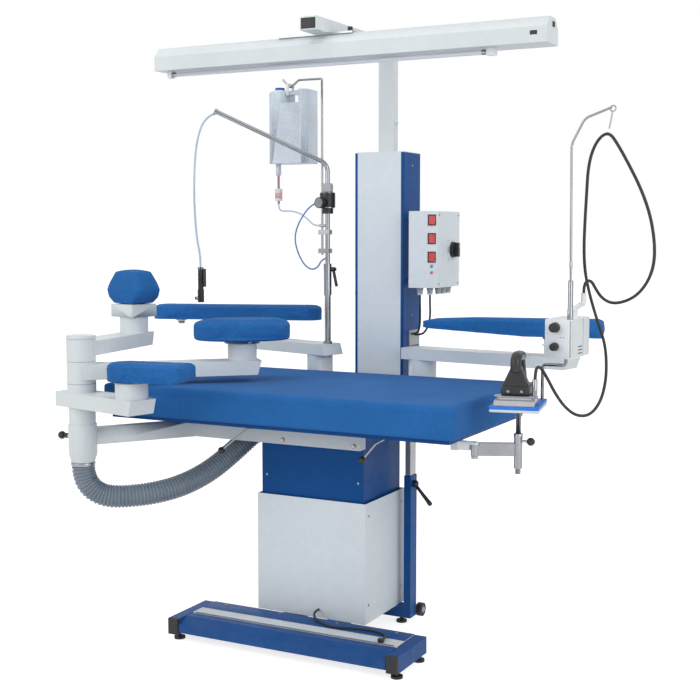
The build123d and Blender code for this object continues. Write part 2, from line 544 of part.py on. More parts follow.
def arm_column():
    """Sliding tube with the spindle of the three arms and its cap."""
    tube = pipe(ARM_AXIS, TUBE_R, TUBE_R - 3, TUBE_Z0, TUBE_Z1 - 8)
    tube += post(ARM_AXIS, TUBE_R, TUBE_Z1 - 8, TUBE_Z1)
    tube += post(ARM_AXIS, SPINDLE_R, TUBE_Z1, CAP_Z)
    return tube + post(ARM_AXIS, ARMS["arm_1"]["hub_r"] + 1, CAP_Z, CAP_Z + CAP_H)


def rounded_slab(length, width, z0, z1, left, radius):
    """Upright slab with rounded corners; left is its end behind the hub."""
    return Pos(length / 2 - left, 0, z0) * extrude(RectangleRounded(length, width, radius), z1 - z0)


def side_profile(points, half):
    """Outline in the X-Z plane, drawn out to both sides of it."""
    return extrude(Plane.XZ * make_face(Polyline(*points, close=True)), half, both=True)


def form(name, cushion, plate, turn):
    """Cushion and its base plate with the pin that turns in the arm's hub."""
    a = ARMS[name.replace("pad", "arm")]
    xy = polar(a["xy"], a["heading"], a["reach"])
    z = a["tip_z"] + HUB_GAP
    base = plate + post((0, 0), HUB_PIN_R, z - HUB_PIN_L, z)
    return [turned(cushion, xy, turn), turned(base, xy, turn)]


def pad_1():
    """Small block form on a square base."""
    z = ARMS["arm_1"]["tip_z"] + HUB_GAP
    base = Pos(0, 0, z) * extrude(RectangleRounded(125, 125, 6), 48)
    base -= block(-60, 60, -60, 60, z + 6, z + 46)
    low = z + 48 + SOFT_GAP
    sections = [
        (122, 122, low), (184, 130, low + 26), (198, 134, low + 56), (176, 124, low + 84), (140, 92, 1298)
    ]
    cushion = loft([Pos(0, 0, h) * RectangleRounded(w, d, 28) for w, d, h in sections], ruled=True)
    return form("pad_1", cushion, base, -13)


def pad_2():
    """Oval cushion."""
    z = ARMS["arm_2"]["tip_z"] + HUB_GAP
    cushion = Pos(0, 0, z + 8 + SOFT_GAP) * extrude(Ellipse(182, 120), 1125 - z - 8 - SOFT_GAP)
    return form("pad_2", fillet(cushion.edges(), 22), post((0, 0), 66, z, z + 8), 35)


def pad_3():
    """Short board form, rounded at its left end."""
    z = ARMS["arm_3"]["tip_z"] + HUB_GAP
    low = z + 4 + SOFT_GAP
    slab = rounded_slab(312, 152, low, 1000, 90, 24)
    slab -= block(-90, -14, -76, 76, low, 1000) - post((-14, 0), 76, low, 1000)
    side = [(-91, low + 20), (-66, low), (196, low), (223, low + 26), (223, 1001), (-91, 1001)]
    return form("pad_3", slab & side_profile(side, 80), post((0, 0), 60, z, z + 4), 8)


def pad_4():
    """Long board form with its small valve below."""
    z = ARMS["arm_4"]["tip_z"] + HUB_GAP
    low = z + 6 + SOFT_GAP
    cushion = rounded_slab(730, 140, low, 1136, 478, 60)
    valve = Pos(0, 0, low - 14) * Cylinder(14, 8) + Pos(0, 0, low - 5) * Cone(14, 26, 10 - SOFT_GAP)
    parts = form("pad_4", cushion, post((0, 0), 60, z, z + 6), 18.5)
    xy = polar(polar(ARMS["arm_4"]["xy"], ARMS["arm_4"]["heading"], ARMS["arm_4"]["reach"]), 18.5, -358)
    return [*parts, Pos(xy[0], xy[1], 0) * valve]


def pad_5():
    """Sleeve board form: thin narrow nose at the left, square end at the right."""
    z = ARMS["arm_5"]["tip_z"] + HUB_GAP
    low = z + 6 + SOFT_GAP
    outline = [(160, -70), (160, 70), (-428, 38), (-483, 26), (-505, 0), (-483, -26), (-428, -38)]
    side = [(-506, 1092), (-120, low), (161, low), (161, 1130), (-300, 1130), (-506, 1122)]
    cushion = plan(outline, low, 1130) & side_profile(side, 80)
    return form("pad_5", cushion, post((0, 0), 58, z, z + 6), 12)


# ---------------------------------------------------------------- column, lamp and control box
def column():
    """Hollow column with its cap, post guide, side knob and cable plate."""
    x = COLUMN_X - COLUMN_COVER
    body = shell(-x, x, COLUMN_Y0, COLUMN_Y1, COLUMN_Z0, COLUMN_Z1, SHEET, top=True, bottom=True)
    body += block(-x + 1, x - 1, COLUMN_Y0 + 1, COLUMN_Y1 - 1, LAMP_POST_Z0 + 60, LAMP_POST_Z0 + 80)
    play = 0.3
    body -= block(
        -LAMP_POST_X - play, LAMP_POST_X + play, LAMP_POST_Y0 - play, LAMP_POST_Y1 + play,
        LAMP_POST_Z0 + 50, COLUMN_Z1 + 1,
    )
    plate = block(COLUMN_X, COLUMN_X + 4, 505, 595, 1000, 1060)
    knob = bar((-COLUMN_X, 485, 1205), (-COLUMN_X - 12, 485, 1205), 9)
    return [body, plate, knob]


def column_covers():
    """Coloured covers on both sides of the column."""
    pieces = []
    for side in (-1, 1):
        x0, x1 = sorted((side * (COLUMN_X - COLUMN_COVER), side * COLUMN_X))
        pieces.append(block(x0, x1, COLUMN_Y0 + 2, COLUMN_Y1 - 2, COLUMN_Z0 + 4, COLUMN_Z1 - 3))
    return pieces


def lamp_post():
    """Telescoping post and the bracket tube that carries the lamp."""
    upright = block(-LAMP_POST_X, LAMP_POST_X, LAMP_POST_Y0, LAMP_POST_Y1, LAMP_POST_Z0, BRACKET_Z0)
    upright -= block(
        -LAMP_POST_X + 3, LAMP_POST_X - 3, LAMP_POST_Y0 + 3, LAMP_POST_Y1 - 3, LAMP_POST_Z0 - 1, BRACKET_Z0
    )
    tube = block(-LAMP_POST_X, LAMP_POST_X, BRACKET_Y0, LAMP_POST_Y1, BRACKET_Z0, BRACKET_Z1)
    tube -= block(
        -LAMP_POST_X + 3, LAMP_POST_X - 3, BRACKET_Y0 + 3, LAMP_POST_Y1 - 3, BRACKET_Z0 + 3, BRACKET_Z1 - 3
    )
    screw = bar((LAMP_POST_X, 533, 1872), (LAMP_POST_X + 8, 533, 1872), 7)
    return upright + tube + screw


def lamp_profile(wall):
    """Cross-section of the lamp housing."""
    return [
        (LAMP_Y0 + wall, LAMP_Z0 + wall), (LAMP_Y0 + wall, LAMP_CREASE), (LAMP_Y0 + 30, LAMP_Z1 - wall),
        (LAMP_Y1 - 30, LAMP_Z1 - wall), (LAMP_Y1 - wall, LAMP_CREASE), (LAMP_Y1 - wall, LAMP_Z0 + wall),
    ]


def rocker(w, h, d):
    """Rocker with its pivot pins, centred on the origin, face towards +Z."""
    return Box(w, h, d) + Rot(0, 90, 0) * Cylinder(1.5, w + 6)


def rocker_frame(w, h, d):
    """Frame behind a window that holds a rocker's pins."""
    ring = Box(w + 12, h + 8, d) - Box(w + 1, h + 2, d + 1)
    return ring - Rot(0, 90, 0) * Cylinder(1.5 + FIT, w + 7)


LAMP_SWITCH_PLANE = Plane(
    origin=(LAMP_SWITCH[0], LAMP_SWITCH[1] + 3, LAMP_SWITCH[2]), x_dir=(0, 0, 1), z_dir=(0, -1, 0)
)
LAMP_ROCKER = (12, 22, 8)


def lamp_housing():
    """Folded lamp body with its hanger plate."""
    wall = SHEET
    body = profile_along_x(lamp_profile(0), LAMP_X0, LAMP_X1)
    body -= profile_along_x(lamp_profile(wall), LAMP_X0 + wall, LAMP_X1 - wall)
    w, h, d = LAMP_ROCKER
    body -= LAMP_SWITCH_PLANE * Box(w + 1, h + 2, 20)
    body += LAMP_SWITCH_PLANE * Pos(0, 0, -0.9) * rocker_frame(w, h, d - 2)
    body -= LAMP_SWITCH_PLANE * Rot(0, 90, 0) * Cylinder(1.5 + FIT, w + 7)
    hanger = block(-165, 130, -30, 30, LAMP_Z1, BRACKET_Z0)
    inlet = block(LAMP_X1, LAMP_X1 + 4, 0, 16, LAMP_CREASE + 4, LAMP_CREASE + 20)
    return [body, hanger, post((118, -22), 9, BRACKET_Z0, BRACKET_Z0 + 14), inlet]


def lamp_switch():
    """Rocker switch of the lamp."""
    return LAMP_SWITCH_PLANE * rocker(*LAMP_ROCKER)


def lamp_tube():
    """Fluorescent tube in its two sockets."""
    tube = bar((-645, 0, LAMP_TUBE_Z), (615, 0, LAMP_TUBE_Z), LAMP_TUBE_R)
    z0 = LAMP_TUBE_Z - LAMP_TUBE_R - 4
    return [tube, block(-663, -645, -11, 11, z0, LAMP_Z0), block(615, 646, -11, 11, z0, LAMP_Z0)]


def chamfer_plane(z, depth=0.0):
    """Plane on the slanted face of the control box, x along the face and y up."""
    mid = (BOX_X1 - BOX_CHAMFER / 2, BOX_Y0 + BOX_CHAMFER / 2)
    s = math.sqrt(0.5)
    return Plane(origin=(mid[0] - s * depth, mid[1] + s * depth, z), x_dir=(s, s, 0), z_dir=(s, -s, 0))


def control_box():
    """Control box with its slanted switch face, brackets to the column, cable glands and switch plate."""
    outline = [
        (BOX_X0, BOX_Y0), (BOX_X1 - BOX_CHAMFER, BOX_Y0), (BOX_X1, BOX_Y0 + BOX_CHAMFER), (BOX_X1, BOX_Y1),
        (BOX_X0, BOX_Y1),
    ]
    box = plan(outline, BOX_Z0, BOX_Z1)
    inner = [
        (BOX_X0 + SHEET, BOX_Y0 + SHEET), (BOX_X1 - BOX_CHAMFER - 1, BOX_Y0 + SHEET),
        (BOX_X1 - SHEET, BOX_Y0 + BOX_CHAMFER + 1), (BOX_X1 - SHEET, BOX_Y1 - SHEET),
        (BOX_X0 + SHEET, BOX_Y1 - SHEET),
    ]
    box -= plan(inner, BOX_Z0 + SHEET, BOX_Z1 - SHEET)
    for z in ROCKER_Z.values():
        box -= chamfer_plane(z) * Box(ROCKER_W + 1, ROCKER_H + 2, 12)
        box += chamfer_plane(z, 4.5) * rocker_frame(ROCKER_W, ROCKER_H, 6)
        box -= chamfer_plane(z, 3) * Rot(0, 90, 0) * Cylinder(1.5 + FIT, ROCKER_W + 7)
    for z in (BOX_Z0 + 7, BOX_Z1 - 34):
        box += block(COLUMN_X, BOX_X0, 500, 560, z, z + 20)
    box += block(BOX_X1, BOX_X1 + 8, SWITCH_Y - 30, SWITCH_Y + 30, SWITCH_Z - 38, SWITCH_Z + 38)
    box -= bar((BOX_X1 - 10, SWITCH_Y, SWITCH_Z), (BOX_X1 + 9, SWITCH_Y, SWITCH_Z), 5 + FIT)
    for x, y in ((182, 440), (214, 462), (225, 515), (225, 565), (225, 615)):
        box += post((x, y), 10, BOX_Z0 - 28, BOX_Z0)
    return box


def rocker_switch(name):
    """Red rocker on the slanted face."""
    return chamfer_plane(ROCKER_Z[name], 3) * rocker(ROCKER_W, ROCKER_H, ROCKER_D)


def main_switch():
    """Rotary main switch: knob, grip bar and shaft."""
    x = BOX_X1 + 8 + HUB_GAP
    knob = bar((x, SWITCH_Y, SWITCH_Z), (x + 12, SWITCH_Y, SWITCH_Z), 29)
    knob += block(x + 12, x + 28, SWITCH_Y - 8, SWITCH_Y + 8, SWITCH_Z - 27, SWITCH_Z + 27)
    return knob + bar((BOX_X1 - 10, SWITCH_Y, SWITCH_Z), (x, SWITCH_Y, SWITCH_Z), 5)


# ---------------------------------------------------------------- iron rest, steam unit and iron
def rest_link():
    """Swinging link with the sleeve and the clamp knob of the rest's post."""
    a, b = Vector(*REST_PIVOT), Vector(*REST_POST)
    length = (b - a).length
    heading = math.degrees(math.atan2(b.Y - a.Y, b.X - a.X))
    plate = block(14, length - REST_SLEEVE_R + 2, -REST_LINK_T / 2, REST_LINK_T / 2, REST_LINK_Z0, REST_LINK_Z1)
    eye = post((0, 0), 13, REST_LINK_Z0, REST_LINK_Z1 - 7) + block(0, 20, -9, 9, REST_LINK_Z0, REST_LINK_Z1 - 7)
    link = turned(plate + eye + post((0, 0), 6, REST_LINK_Z0, TRAY_BOTTOM - 3), REST_PIVOT, heading)
    link -= post(REST_PIVOT, 14.6, REST_LINK_Z1 - 7, REST_LINK_Z1 + 1) - post(REST_PIVOT, 6, 0, 900)
    link += post(REST_POST, REST_SLEEVE_R, REST_SLEEVE_Z0, REST_SLEEVE_Z1)
    link -= post(REST_POST, REST_POST_R + FIT, 0, 900)
    x, y = REST_POST
    stem = bar((x + REST_POST_R + 1, y, 777), (x + 36, y, 777), 4)
    return link + stem + ball((x + 42, y, 777), (1, 0, 0), LEVER_BALL_R)


def rest_plate():
    """Rest plate with its silicone mat and the post below it."""
    z0 = PLATE_TOP - MAT_T - PLATE_T
    plate = Pos(0, 0, z0) * extrude(RectangleRounded(PLATE_W, PLATE_L, 8), PLATE_T)
    mat = Pos(0, 0, PLATE_TOP - MAT_T) * extrude(RectangleRounded(PLATE_W, PLATE_L, 8), MAT_T)
    rod = post(ROD_FOOT, ROD_R, PLATE_TOP - MAT_T, PLATE_TOP + 1)
    stem = post(REST_POST, REST_POST_R, REST_POST_Z0, z0)
    return [turned(plate, PLATE_CENTRE, PLATE_TURN) + stem, turned(mat, PLATE_CENTRE, PLATE_TURN) - rod]


def rest_mast():
    """Bent rod under the steam unit, and above it the hose mast with its socket and carabiner."""
    x, y = ROD_FOOT
    path = FilletPolyline(
        (x, y, PLATE_TOP - MAT_T), (x, y, ROD_Z), (ROD_TOP_X, y, ROD_Z), (ROD_TOP_X, y, UNIT_Z0),
        radius=[12, 10],
    )
    rod = sweep(Plane(origin=(x, y, PLATE_TOP - MAT_T), z_dir=(0, 0, 1)) * Circle(ROD_R), path=path)
    socket = post(MAST_XY, 8, UNIT_Z1, 1289)
    mx, my = MAST_XY
    line = FilletPolyline(
        (mx, my, 1289), (mx - 5, my, 1720), (964, my, 1799), (1050, my, 1830), radius=[60, 40]
    )
    mast = sweep(Plane(origin=(mx, my, 1289), z_dir=(-5, 0, 431)) * Circle(MAST_R), path=line)
    ring = Pos(1053, my, 1826) * Rot(90, 0, 0) * Torus(9, 2)
    hook = bar((1052, my, 1817), (1042, my, 1764), 2.5)
    return [rod, socket + mast + ring + hook]


def steam_unit():
    """Steam control unit: case with vent slots, hose connector and toggle."""
    case = block(UNIT_X0, UNIT_X1, UNIT_Y0, UNIT_Y1, UNIT_Z0, UNIT_Z1)
    case -= block(UNIT_X0 + 3, UNIT_X1 - 3, UNIT_Y0 + 3, UNIT_Y1 - 3, UNIT_Z0 + 3, UNIT_Z1 - 3)
    for z in (1052, 1061, 1070):
        case -= block(UNIT_X1 - 4, UNIT_X1 + 1, UNIT_Y0 + 50, UNIT_Y0 + 95, z, z + 3)
    for x, z in ((KNOB_X, STEAM_KNOB_Z), (KNOB_X, HEAT_KNOB_Z)):
        case -= bar((x, UNIT_Y0 - 1, z), (x, UNIT_Y0 + 12, z), 3 + FIT)
    start = STEAM_HOSE[0]
    top = start[2]
    base_x = UNIT_X1 - 16
    neck = block(base_x - 14, base_x + 14, start[1] - 12, start[1] + 12, UNIT_Z1, UNIT_Z1 + 34)
    neck += bar((base_x, start[1], UNIT_Z1 + 30), (start[0], start[1], UNIT_Z1 + 52), 9)
    neck += bar((start[0], start[1], UNIT_Z1 + 48), (start[0], start[1], top), 9)
    toggle = bar((UNIT_X0, UNIT_Y0 + 10, 1076), (UNIT_X0 - 12, UNIT_Y0 + 10, 1080), 3)
    return case + neck + toggle


def unit_knob(z, radius):
    """Round knob on the front of the steam unit."""
    y = UNIT_Y0 - HUB_GAP
    return bar((KNOB_X, y, z), (KNOB_X, y - 22, z), radius) + bar((KNOB_X, y, z), (KNOB_X, y + 12, z), 3)


def in_rest_frame(solid):
    """Carries a piece drawn about the plate's centre to its place on the rest."""
    return turned(solid, PLATE_CENTRE, PLATE_TURN)


def iron_sole():
    """Sole plate and the block it is screwed to."""
    outline = [
        (-IRON_HALF, IRON_HEEL), (IRON_HALF, IRON_HEEL), (IRON_HALF, -10), (IRON_HALF * 0.62, 62),
        (0, IRON_TIP), (-IRON_HALF * 0.62, 62), (-IRON_HALF, -10),
    ]
    sole = plan(outline, IRON_SOLE_Z0, IRON_SOLE_Z0 + 18)
    block_top = plan([(x * 0.8, y * 0.86) for x, y in outline], IRON_SOLE_Z0 + 18, IRON_SOLE_Z0 + 32)
    return in_rest_frame(sole + block_top)


def iron_body():
    """Casing and handle of the iron with its finger gap, and the steam tube at its heel."""
    z0 = IRON_SOLE_Z0 + 32
    half = IRON_HALF * 0.66
    case = plan([(-half, -86), (half, -86), (half, 0), (0, 78), (-half, 0)], z0, z0 + 34)
    rear = block(-26, 26, -83, -50, z0 + 34, z0 + 104)
    front = block(-17, 17, 20, 48, z0 + 34, z0 + 108)
    grip = profile_along_x(
        [(-84, z0 + 92), (-84, z0 + 118), (-60, z0 + 140), (52, z0 + 132), (52, z0 + 100)], -19, 19
    )
    tee = bar((20, HOSE_END_Y, z0 + 14), (HOSE_END_X, HOSE_END_Y, z0 + 14), 5)
    body = in_rest_frame(case + rear + front + grip + tee)
    end = STEAM_HOSE[-1]
    body += post(end, STEAM_HOSE_R + 3, z0, IRON_TUBE_TOP)
    return body - post(end, STEAM_HOSE_R + SOFT_GAP + FIT, z0 + 4, IRON_TUBE_TOP + 1)


# ---------------------------------------------------------------- spray rig
def spray_post():
    """Post on arm 4 with its wider clamp sleeve."""
    lower = post(SPRAY_XY, SPRAY_R, SPRAY_Z0, SPRAY_SLEEVE_Z0)
    sleeve = post(SPRAY_XY, SPRAY_SLEEVE_R, SPRAY_SLEEVE_Z0, SPRAY_SLEEVE_Z1)
    collar = post(SPRAY_XY, 18, SPRAY_Z0, SPRAY_Z0 + 10)
    bore = post(SPRAY_XY, BOOM_R + FIT, SPRAY_SLEEVE_Z0 + 20, SPRAY_SLEEVE_Z1 + 1)
    return lower + sleeve + collar - bore - lever_bolt(FIT)


def lever_bolt(clearance):
    """Clamp bolt across the post's sleeve."""
    x, y = SPRAY_XY
    z = SPRAY_SLEEVE_Z1 - 22
    return bar((x + BOOM_R + 2, y, z), (x + SPRAY_SLEEVE_R + 3, y, z), 4 + clearance)


def post_lever():
    """Clamp lever of the post, with its bolt and push button."""
    x, y = SPRAY_XY
    z = SPRAY_SLEEVE_Z1 - 22
    x0 = x + SPRAY_SLEEVE_R + HUB_GAP
    lever_body = bar((x0, y, z), (x0 + 16, y, z), 9) + bar((x0 + 9, y, z), (x0 + 24, y, z - 68), 6)
    return lever_body + bar((x0 + 16, y, z), (x0 + 21, y, z), 5) + lever_bolt(0)


def boom():
    """Boom tube with its bend, the hook pole clamped beside it, the pressure regulator and its gauge."""
    x, y = SPRAY_XY
    line = FilletPolyline((x, y, SPRAY_SLEEVE_Z0 + 25), (x, y, BOOM_Z), BOOM_TIP, radius=[45])
    tube = sweep(Plane(origin=(x, y, SPRAY_SLEEVE_Z0 + 25), z_dir=(0, 0, 1)) * Circle(BOOM_R), path=line)
    px, py = POLE_XY
    pole_line = FilletPolyline(
        (px, py, 1355), (px, py, HOOK_Z), (HOOK_X + 40, CAN_Y, HOOK_Z + 12),
        (HOOK_X, CAN_Y, HOOK_Z - 18),
        (HOOK_X - 34, CAN_Y, HOOK_Z + 18), radius=[9, 10, 12],
    )
    pole = sweep(Plane(origin=(px, py, 1355), z_dir=(0, 0, 1)) * Circle(POLE_R), path=pole_line)
    clamps = [block(px - 12, x + 14, y - 12, y + 12, z, z + 18) for z in (1362, 1436)]
    reg = post(SPRAY_XY, 30, 1540, 1600) + post(SPRAY_XY, 20, 1600, 1636) + post(SPRAY_XY, 22, 1518, 1540)
    gauge = bar((x - 4, y - 24, 1560), (x - 10, y - 56, 1560), 21)
    nipples = stub(FEED_HOSE[::-1], 34, 5) + stub(BLUE_AIR_HOSE, 24, 5) + stub(BLUE_AIR_HOSE[::-1], 9, 5)
    tip = bar(BOOM_TIP, Vector(*BOOM_TIP) + (line % 1) * 12, BOOM_R + 2) + stub(SPRAY_HOSE, 24, 5)
    return tube + pole + clamps[0] + clamps[1] + reg + gauge + nipples + tip


def jerry_can():
    """Water can with its handle opening, cap and outlet tap."""
    width = CAN_X1 - CAN_X0
    body = block(CAN_X0, CAN_X1, CAN_Y - CAN_D / 2, CAN_Y + CAN_D / 2, CAN_Z0, CAN_Z1)
    body = fillet(body.edges().filter_by(Axis.Z), 22)
    shoulder = profile_y([(CAN_X0 - 1, CAN_Z1 + 1), (CAN_X0 - 1, CAN_Z1 - 12), (CAN_X0 + width * 0.25, CAN_Z1 + 1)])
    hole = block(CAN_X0 + width * 0.36, CAN_X1 - 34, CAN_Y - CAN_D, CAN_Y + CAN_D, CAN_Z1 - 52, CAN_Z1 - 16)
    sides = hole.bounding_box()
    for side in (-1, 1):
        y0, y1 = sorted((CAN_Y + side * HANDLE_HALF, CAN_Y + side * CAN_D))
        body -= block(sides.min.X, sides.max.X, y0, y1, sides.min.Z, CAN_Z1 + 1)
    body = body - shoulder - hole
    bar_z = sides.max.Z - SOFT_GAP
    top = HOOK_Z - 9.5 + POLE_R
    strap = block(HOOK_X - 6, HOOK_X + 6, CAN_Y - 24, CAN_Y + 24, bar_z - 3, top + 3)
    strap -= block(HOOK_X - 7, HOOK_X + 7, CAN_Y - 21, CAN_Y + 21, bar_z, top)
    cap = post((CAN_X0 + 26, CAN_Y), 19, CAN_Z1 - 12, CAN_Z1 + 14)
    x, y, z = FEED_HOSE[0]
    tap = post((x, y), 11, CAN_Z0 - 46, CAN_Z0)
    return [body - cap, cap, tap, strap]


def profile_y(points):
    """Outline in the X-Z plane, through the can's whole depth."""
    return Pos(0, CAN_Y, 0) * side_profile(points, CAN_D)


def feed_line():
    """Water filter under the tap with its stub tube, the feed hose and the air hose."""
    x, y, z = FEED_HOSE[0]
    filter_body = post((x, y), 15, z + 12, z + 58) + post((x, y), 5, z, CAN_Z0 - 46)
    return [filter_body, cord("feed hose", FEED_HOSE, FEED_R), cord("air hose", BLUE_AIR_HOSE, FEED_R)]


def spray_gun():
    """Spray gun hanging on its hose: body, grip and nozzle."""
    x, y, z = SPRAY_HOSE[-1]
    grip = post((x, y), 11, z - 92, z) + post((x, y), 13, z - 140, z - 88)
    nozzle = bar((x, y, z - 126), (x, y - 34, z - 122), 6)
    eye = block(x + 4, x + 17, y - 3.2, y + 3.2, z - 78, z - 64)
    return grip + nozzle + eye - bar((x + 14, y - 10, z - 71), (x + 14, y + 10, z - 71), 1.5 + FIT)


def gun_trigger():
    """Trigger along the gun's grip, hinged near its top."""
    x, y, z = SPRAY_HOSE[-1]
    cheeks = block(x + 11.8, x + 17.5, y - 8, y + 8, z - 78, z - 64)
    cheeks -= block(x + 5, x + 19, y - 3.5, y + 3.5, z - 80, z - 60)
    blade = block(x + 17.5, x + 21, y - 8, y + 8, z - 78, z - 6)
    return cheeks + blade + bar((x + 14, y - 8, z - 71), (x + 14, y + 8, z - 71), 1.5)


# ---------------------------------------------------------------- write every sub-part
def main():
    os.makedirs("parts", exist_ok=True)
    single = [
        foot_frame, pedal_bar, lower_cover, lift_motor, clamp_lever, upper_housing, suction_fan, impeller,
        table_pad, table_tray, lever_left, lever_right, arm_column, lamp_post, lamp_switch, control_box,
        main_switch, rest_link, steam_unit, iron_sole, iron_body, spray_post, post_lever, boom, spray_gun,
        gun_trigger,
    ]
    several = [
        rubber_feet, pedal_cover, wheel_set, guide_rails, arm_beam, arm_sleeve, pad_1, pad_2, pad_3, pad_4,
        pad_5, column, column_covers, lamp_housing, lamp_tube, rest_plate, rest_mast, jerry_can, feed_line,
    ]
    for make in single:
        save(make.__name__, make())
    for make in several:
        save(make.__name__, *make())
    for name in ARMS:
        save(name, arm(name))
    for name in ROCKER_Z:
        save(name, rocker_switch(name))
    save("steam_knob", unit_knob(STEAM_KNOB_Z, 15))
    save("heat_knob", unit_knob(HEAT_KNOB_Z, 12))
    save("suction_hose", cord("suction hose", SUCTION_HOSE, HOSE_R))
    save("pedal_cable", cord("pedal cable", PEDAL_CABLE, 4))
    save("control_cables", cord("cable a", CABLE_A, 4), cord("cable b", CABLE_B, 4))
    save("steam_hose", cord("steam hose", STEAM_HOSE, STEAM_HOSE_R))
    save("spray_hose", cord("spray hose", SPRAY_HOSE, SPRAY_HOSE_R))


main()
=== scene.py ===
"""Visual model of a vacuum ironing station: table, swinging forms, lamp, steam iron and spray rig."""
import json
import logging
import math
from dataclasses import dataclass
from enum import Enum
from functools import lru_cache
from typing import Callable, Optional, Sequence

import bpy
from mathutils import Matrix, Vector

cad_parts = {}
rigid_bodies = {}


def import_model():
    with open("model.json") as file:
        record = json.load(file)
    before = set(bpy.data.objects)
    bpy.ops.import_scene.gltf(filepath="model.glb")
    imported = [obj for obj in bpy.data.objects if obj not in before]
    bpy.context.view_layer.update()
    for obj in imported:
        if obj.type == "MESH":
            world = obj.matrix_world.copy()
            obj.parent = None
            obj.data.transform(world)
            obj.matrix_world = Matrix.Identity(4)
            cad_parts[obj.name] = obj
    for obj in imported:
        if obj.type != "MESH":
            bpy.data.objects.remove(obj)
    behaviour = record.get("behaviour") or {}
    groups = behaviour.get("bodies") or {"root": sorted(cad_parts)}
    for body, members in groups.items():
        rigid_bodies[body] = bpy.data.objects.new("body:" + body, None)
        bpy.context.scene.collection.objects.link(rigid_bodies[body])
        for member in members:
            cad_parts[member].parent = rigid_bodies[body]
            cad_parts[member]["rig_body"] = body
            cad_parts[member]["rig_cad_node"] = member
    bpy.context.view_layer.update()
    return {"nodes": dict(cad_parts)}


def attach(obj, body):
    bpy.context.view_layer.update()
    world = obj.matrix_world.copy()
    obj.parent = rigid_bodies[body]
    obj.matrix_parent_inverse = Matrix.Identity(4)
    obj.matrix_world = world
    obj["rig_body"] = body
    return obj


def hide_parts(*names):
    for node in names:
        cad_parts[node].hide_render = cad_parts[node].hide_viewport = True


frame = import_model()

LOG = logging.getLogger("station")
Point = Sequence[float]
Colour = tuple[float, float, float]


def at(x: float, y: float, z: float) -> Vector:
    """Point in metres from millimetres measured from the pedestal's axis."""
    return Vector(((x - 10) / 1000, (y - 29) / 1000, z / 1000))


# ---------------------------------------------------------------- choices
class FarEnd(Enum):
    """What a cord ends in."""

    OBJECT = "object"
    TOOL = "tool"


class Stiffness(Enum):
    """How stiff a cord is."""

    LIMP = "limp"
    MEDIUM = "medium"
    STIFF = "stiff"


class Lay(Enum):
    """How a cord lies."""

    LOOSE = "loose"
    HANGING = "hanging"


class Slot(Enum):
    """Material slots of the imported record."""

    BLUE_PAINT = "blue_paint"
    CREAM_PAINT = "cream_paint"
    WHITE_PAINT = "white_paint"
    BRIGHT_STEEL = "bright_steel"
    CHROME = "chrome"
    CAST = "cast_aluminium"
    RUBBER = "black_rubber"
    BLACK_PLASTIC = "black_plastic"
    CLOTH = "blue_cloth"
    GREY_HOSE = "grey_hose"
    CLEAR_HOSE = "clear_hose"
    CAN = "can_plastic"
    RED = "red_plastic"
    TUBE = "tube_glass"


# ---------------------------------------------------------------- shader groups
class Graph:
    """Adds and links the nodes of one shader tree."""

    def __init__(self, tree: bpy.types.NodeTree) -> None:
        """Keep the tree.

        Args:
            tree: Node tree that the nodes go into.
        """
        self.tree = tree

    def add(self, kind: str, settings: Optional[dict] = None, **sockets: object) -> bpy.types.Node:
        """Add a node.

        Args:
            kind: Blender's node type without its ShaderNode prefix.
            settings: Properties of the node itself.
            **sockets: Input values or output sockets to link, by socket name with _ for a space.

        Returns:
            The new node.
        """
        node = self.tree.nodes.new("ShaderNode" + kind)
        for key, value in (settings or {}).items():
            setattr(node, key, value)
        for key, value in sockets.items():
            socket = node.inputs[int(key[1:])] if key[0] == "i" and key[1:].isdigit() else node.inputs[
                key.replace("_", " ")]
            if isinstance(value, bpy.types.NodeSocket):
                self.tree.links.new(value, socket)
            else:
                socket.default_value = value
        return node

    def math(self, operation: str, a: object, b: object = 0.0, clamp: bool = False) -> bpy.types.NodeSocket:
        """Add a Math node.

        Args:
            operation: Name of the operation.
            a: First value or socket.
            b: Second value or socket.
            clamp: Whether the result is kept between 0 and 1.

        Returns:
            The node's output.
        """
        return self.add("Math", {"operation": operation, "use_clamp": clamp}, i0=a, i1=b).outputs[0]

    def mix(self, factor: object, a: object, b: object) -> bpy.types.NodeSocket:
        """Add a colour Mix node.

        Args:
            factor: Share of b.
            a: First colour or socket.
            b: Second colour or socket.

        Returns:
            The mixed colour.
        """
        node = self.add("Mix", {"data_type": "RGBA"}, i0=factor, i6=a, i7=b)
        return node.outputs[2]

    def group(self, name: str, **sockets: object) -> bpy.types.Node:
        """Place a shared group.

        Args:
            name: Name of the group.
            **sockets: Values or sockets for its inputs.

        Returns:
            The group node.
        """
        node = self.tree.nodes.new("ShaderNodeGroup")
        node.node_tree = bpy.data.node_groups[name]
        for key, value in sockets.items():
            if isinstance(value, bpy.types.NodeSocket):
                self.tree.links.new(value, node.inputs[key])
            else:
                node.inputs[key].default_value = value
        return node


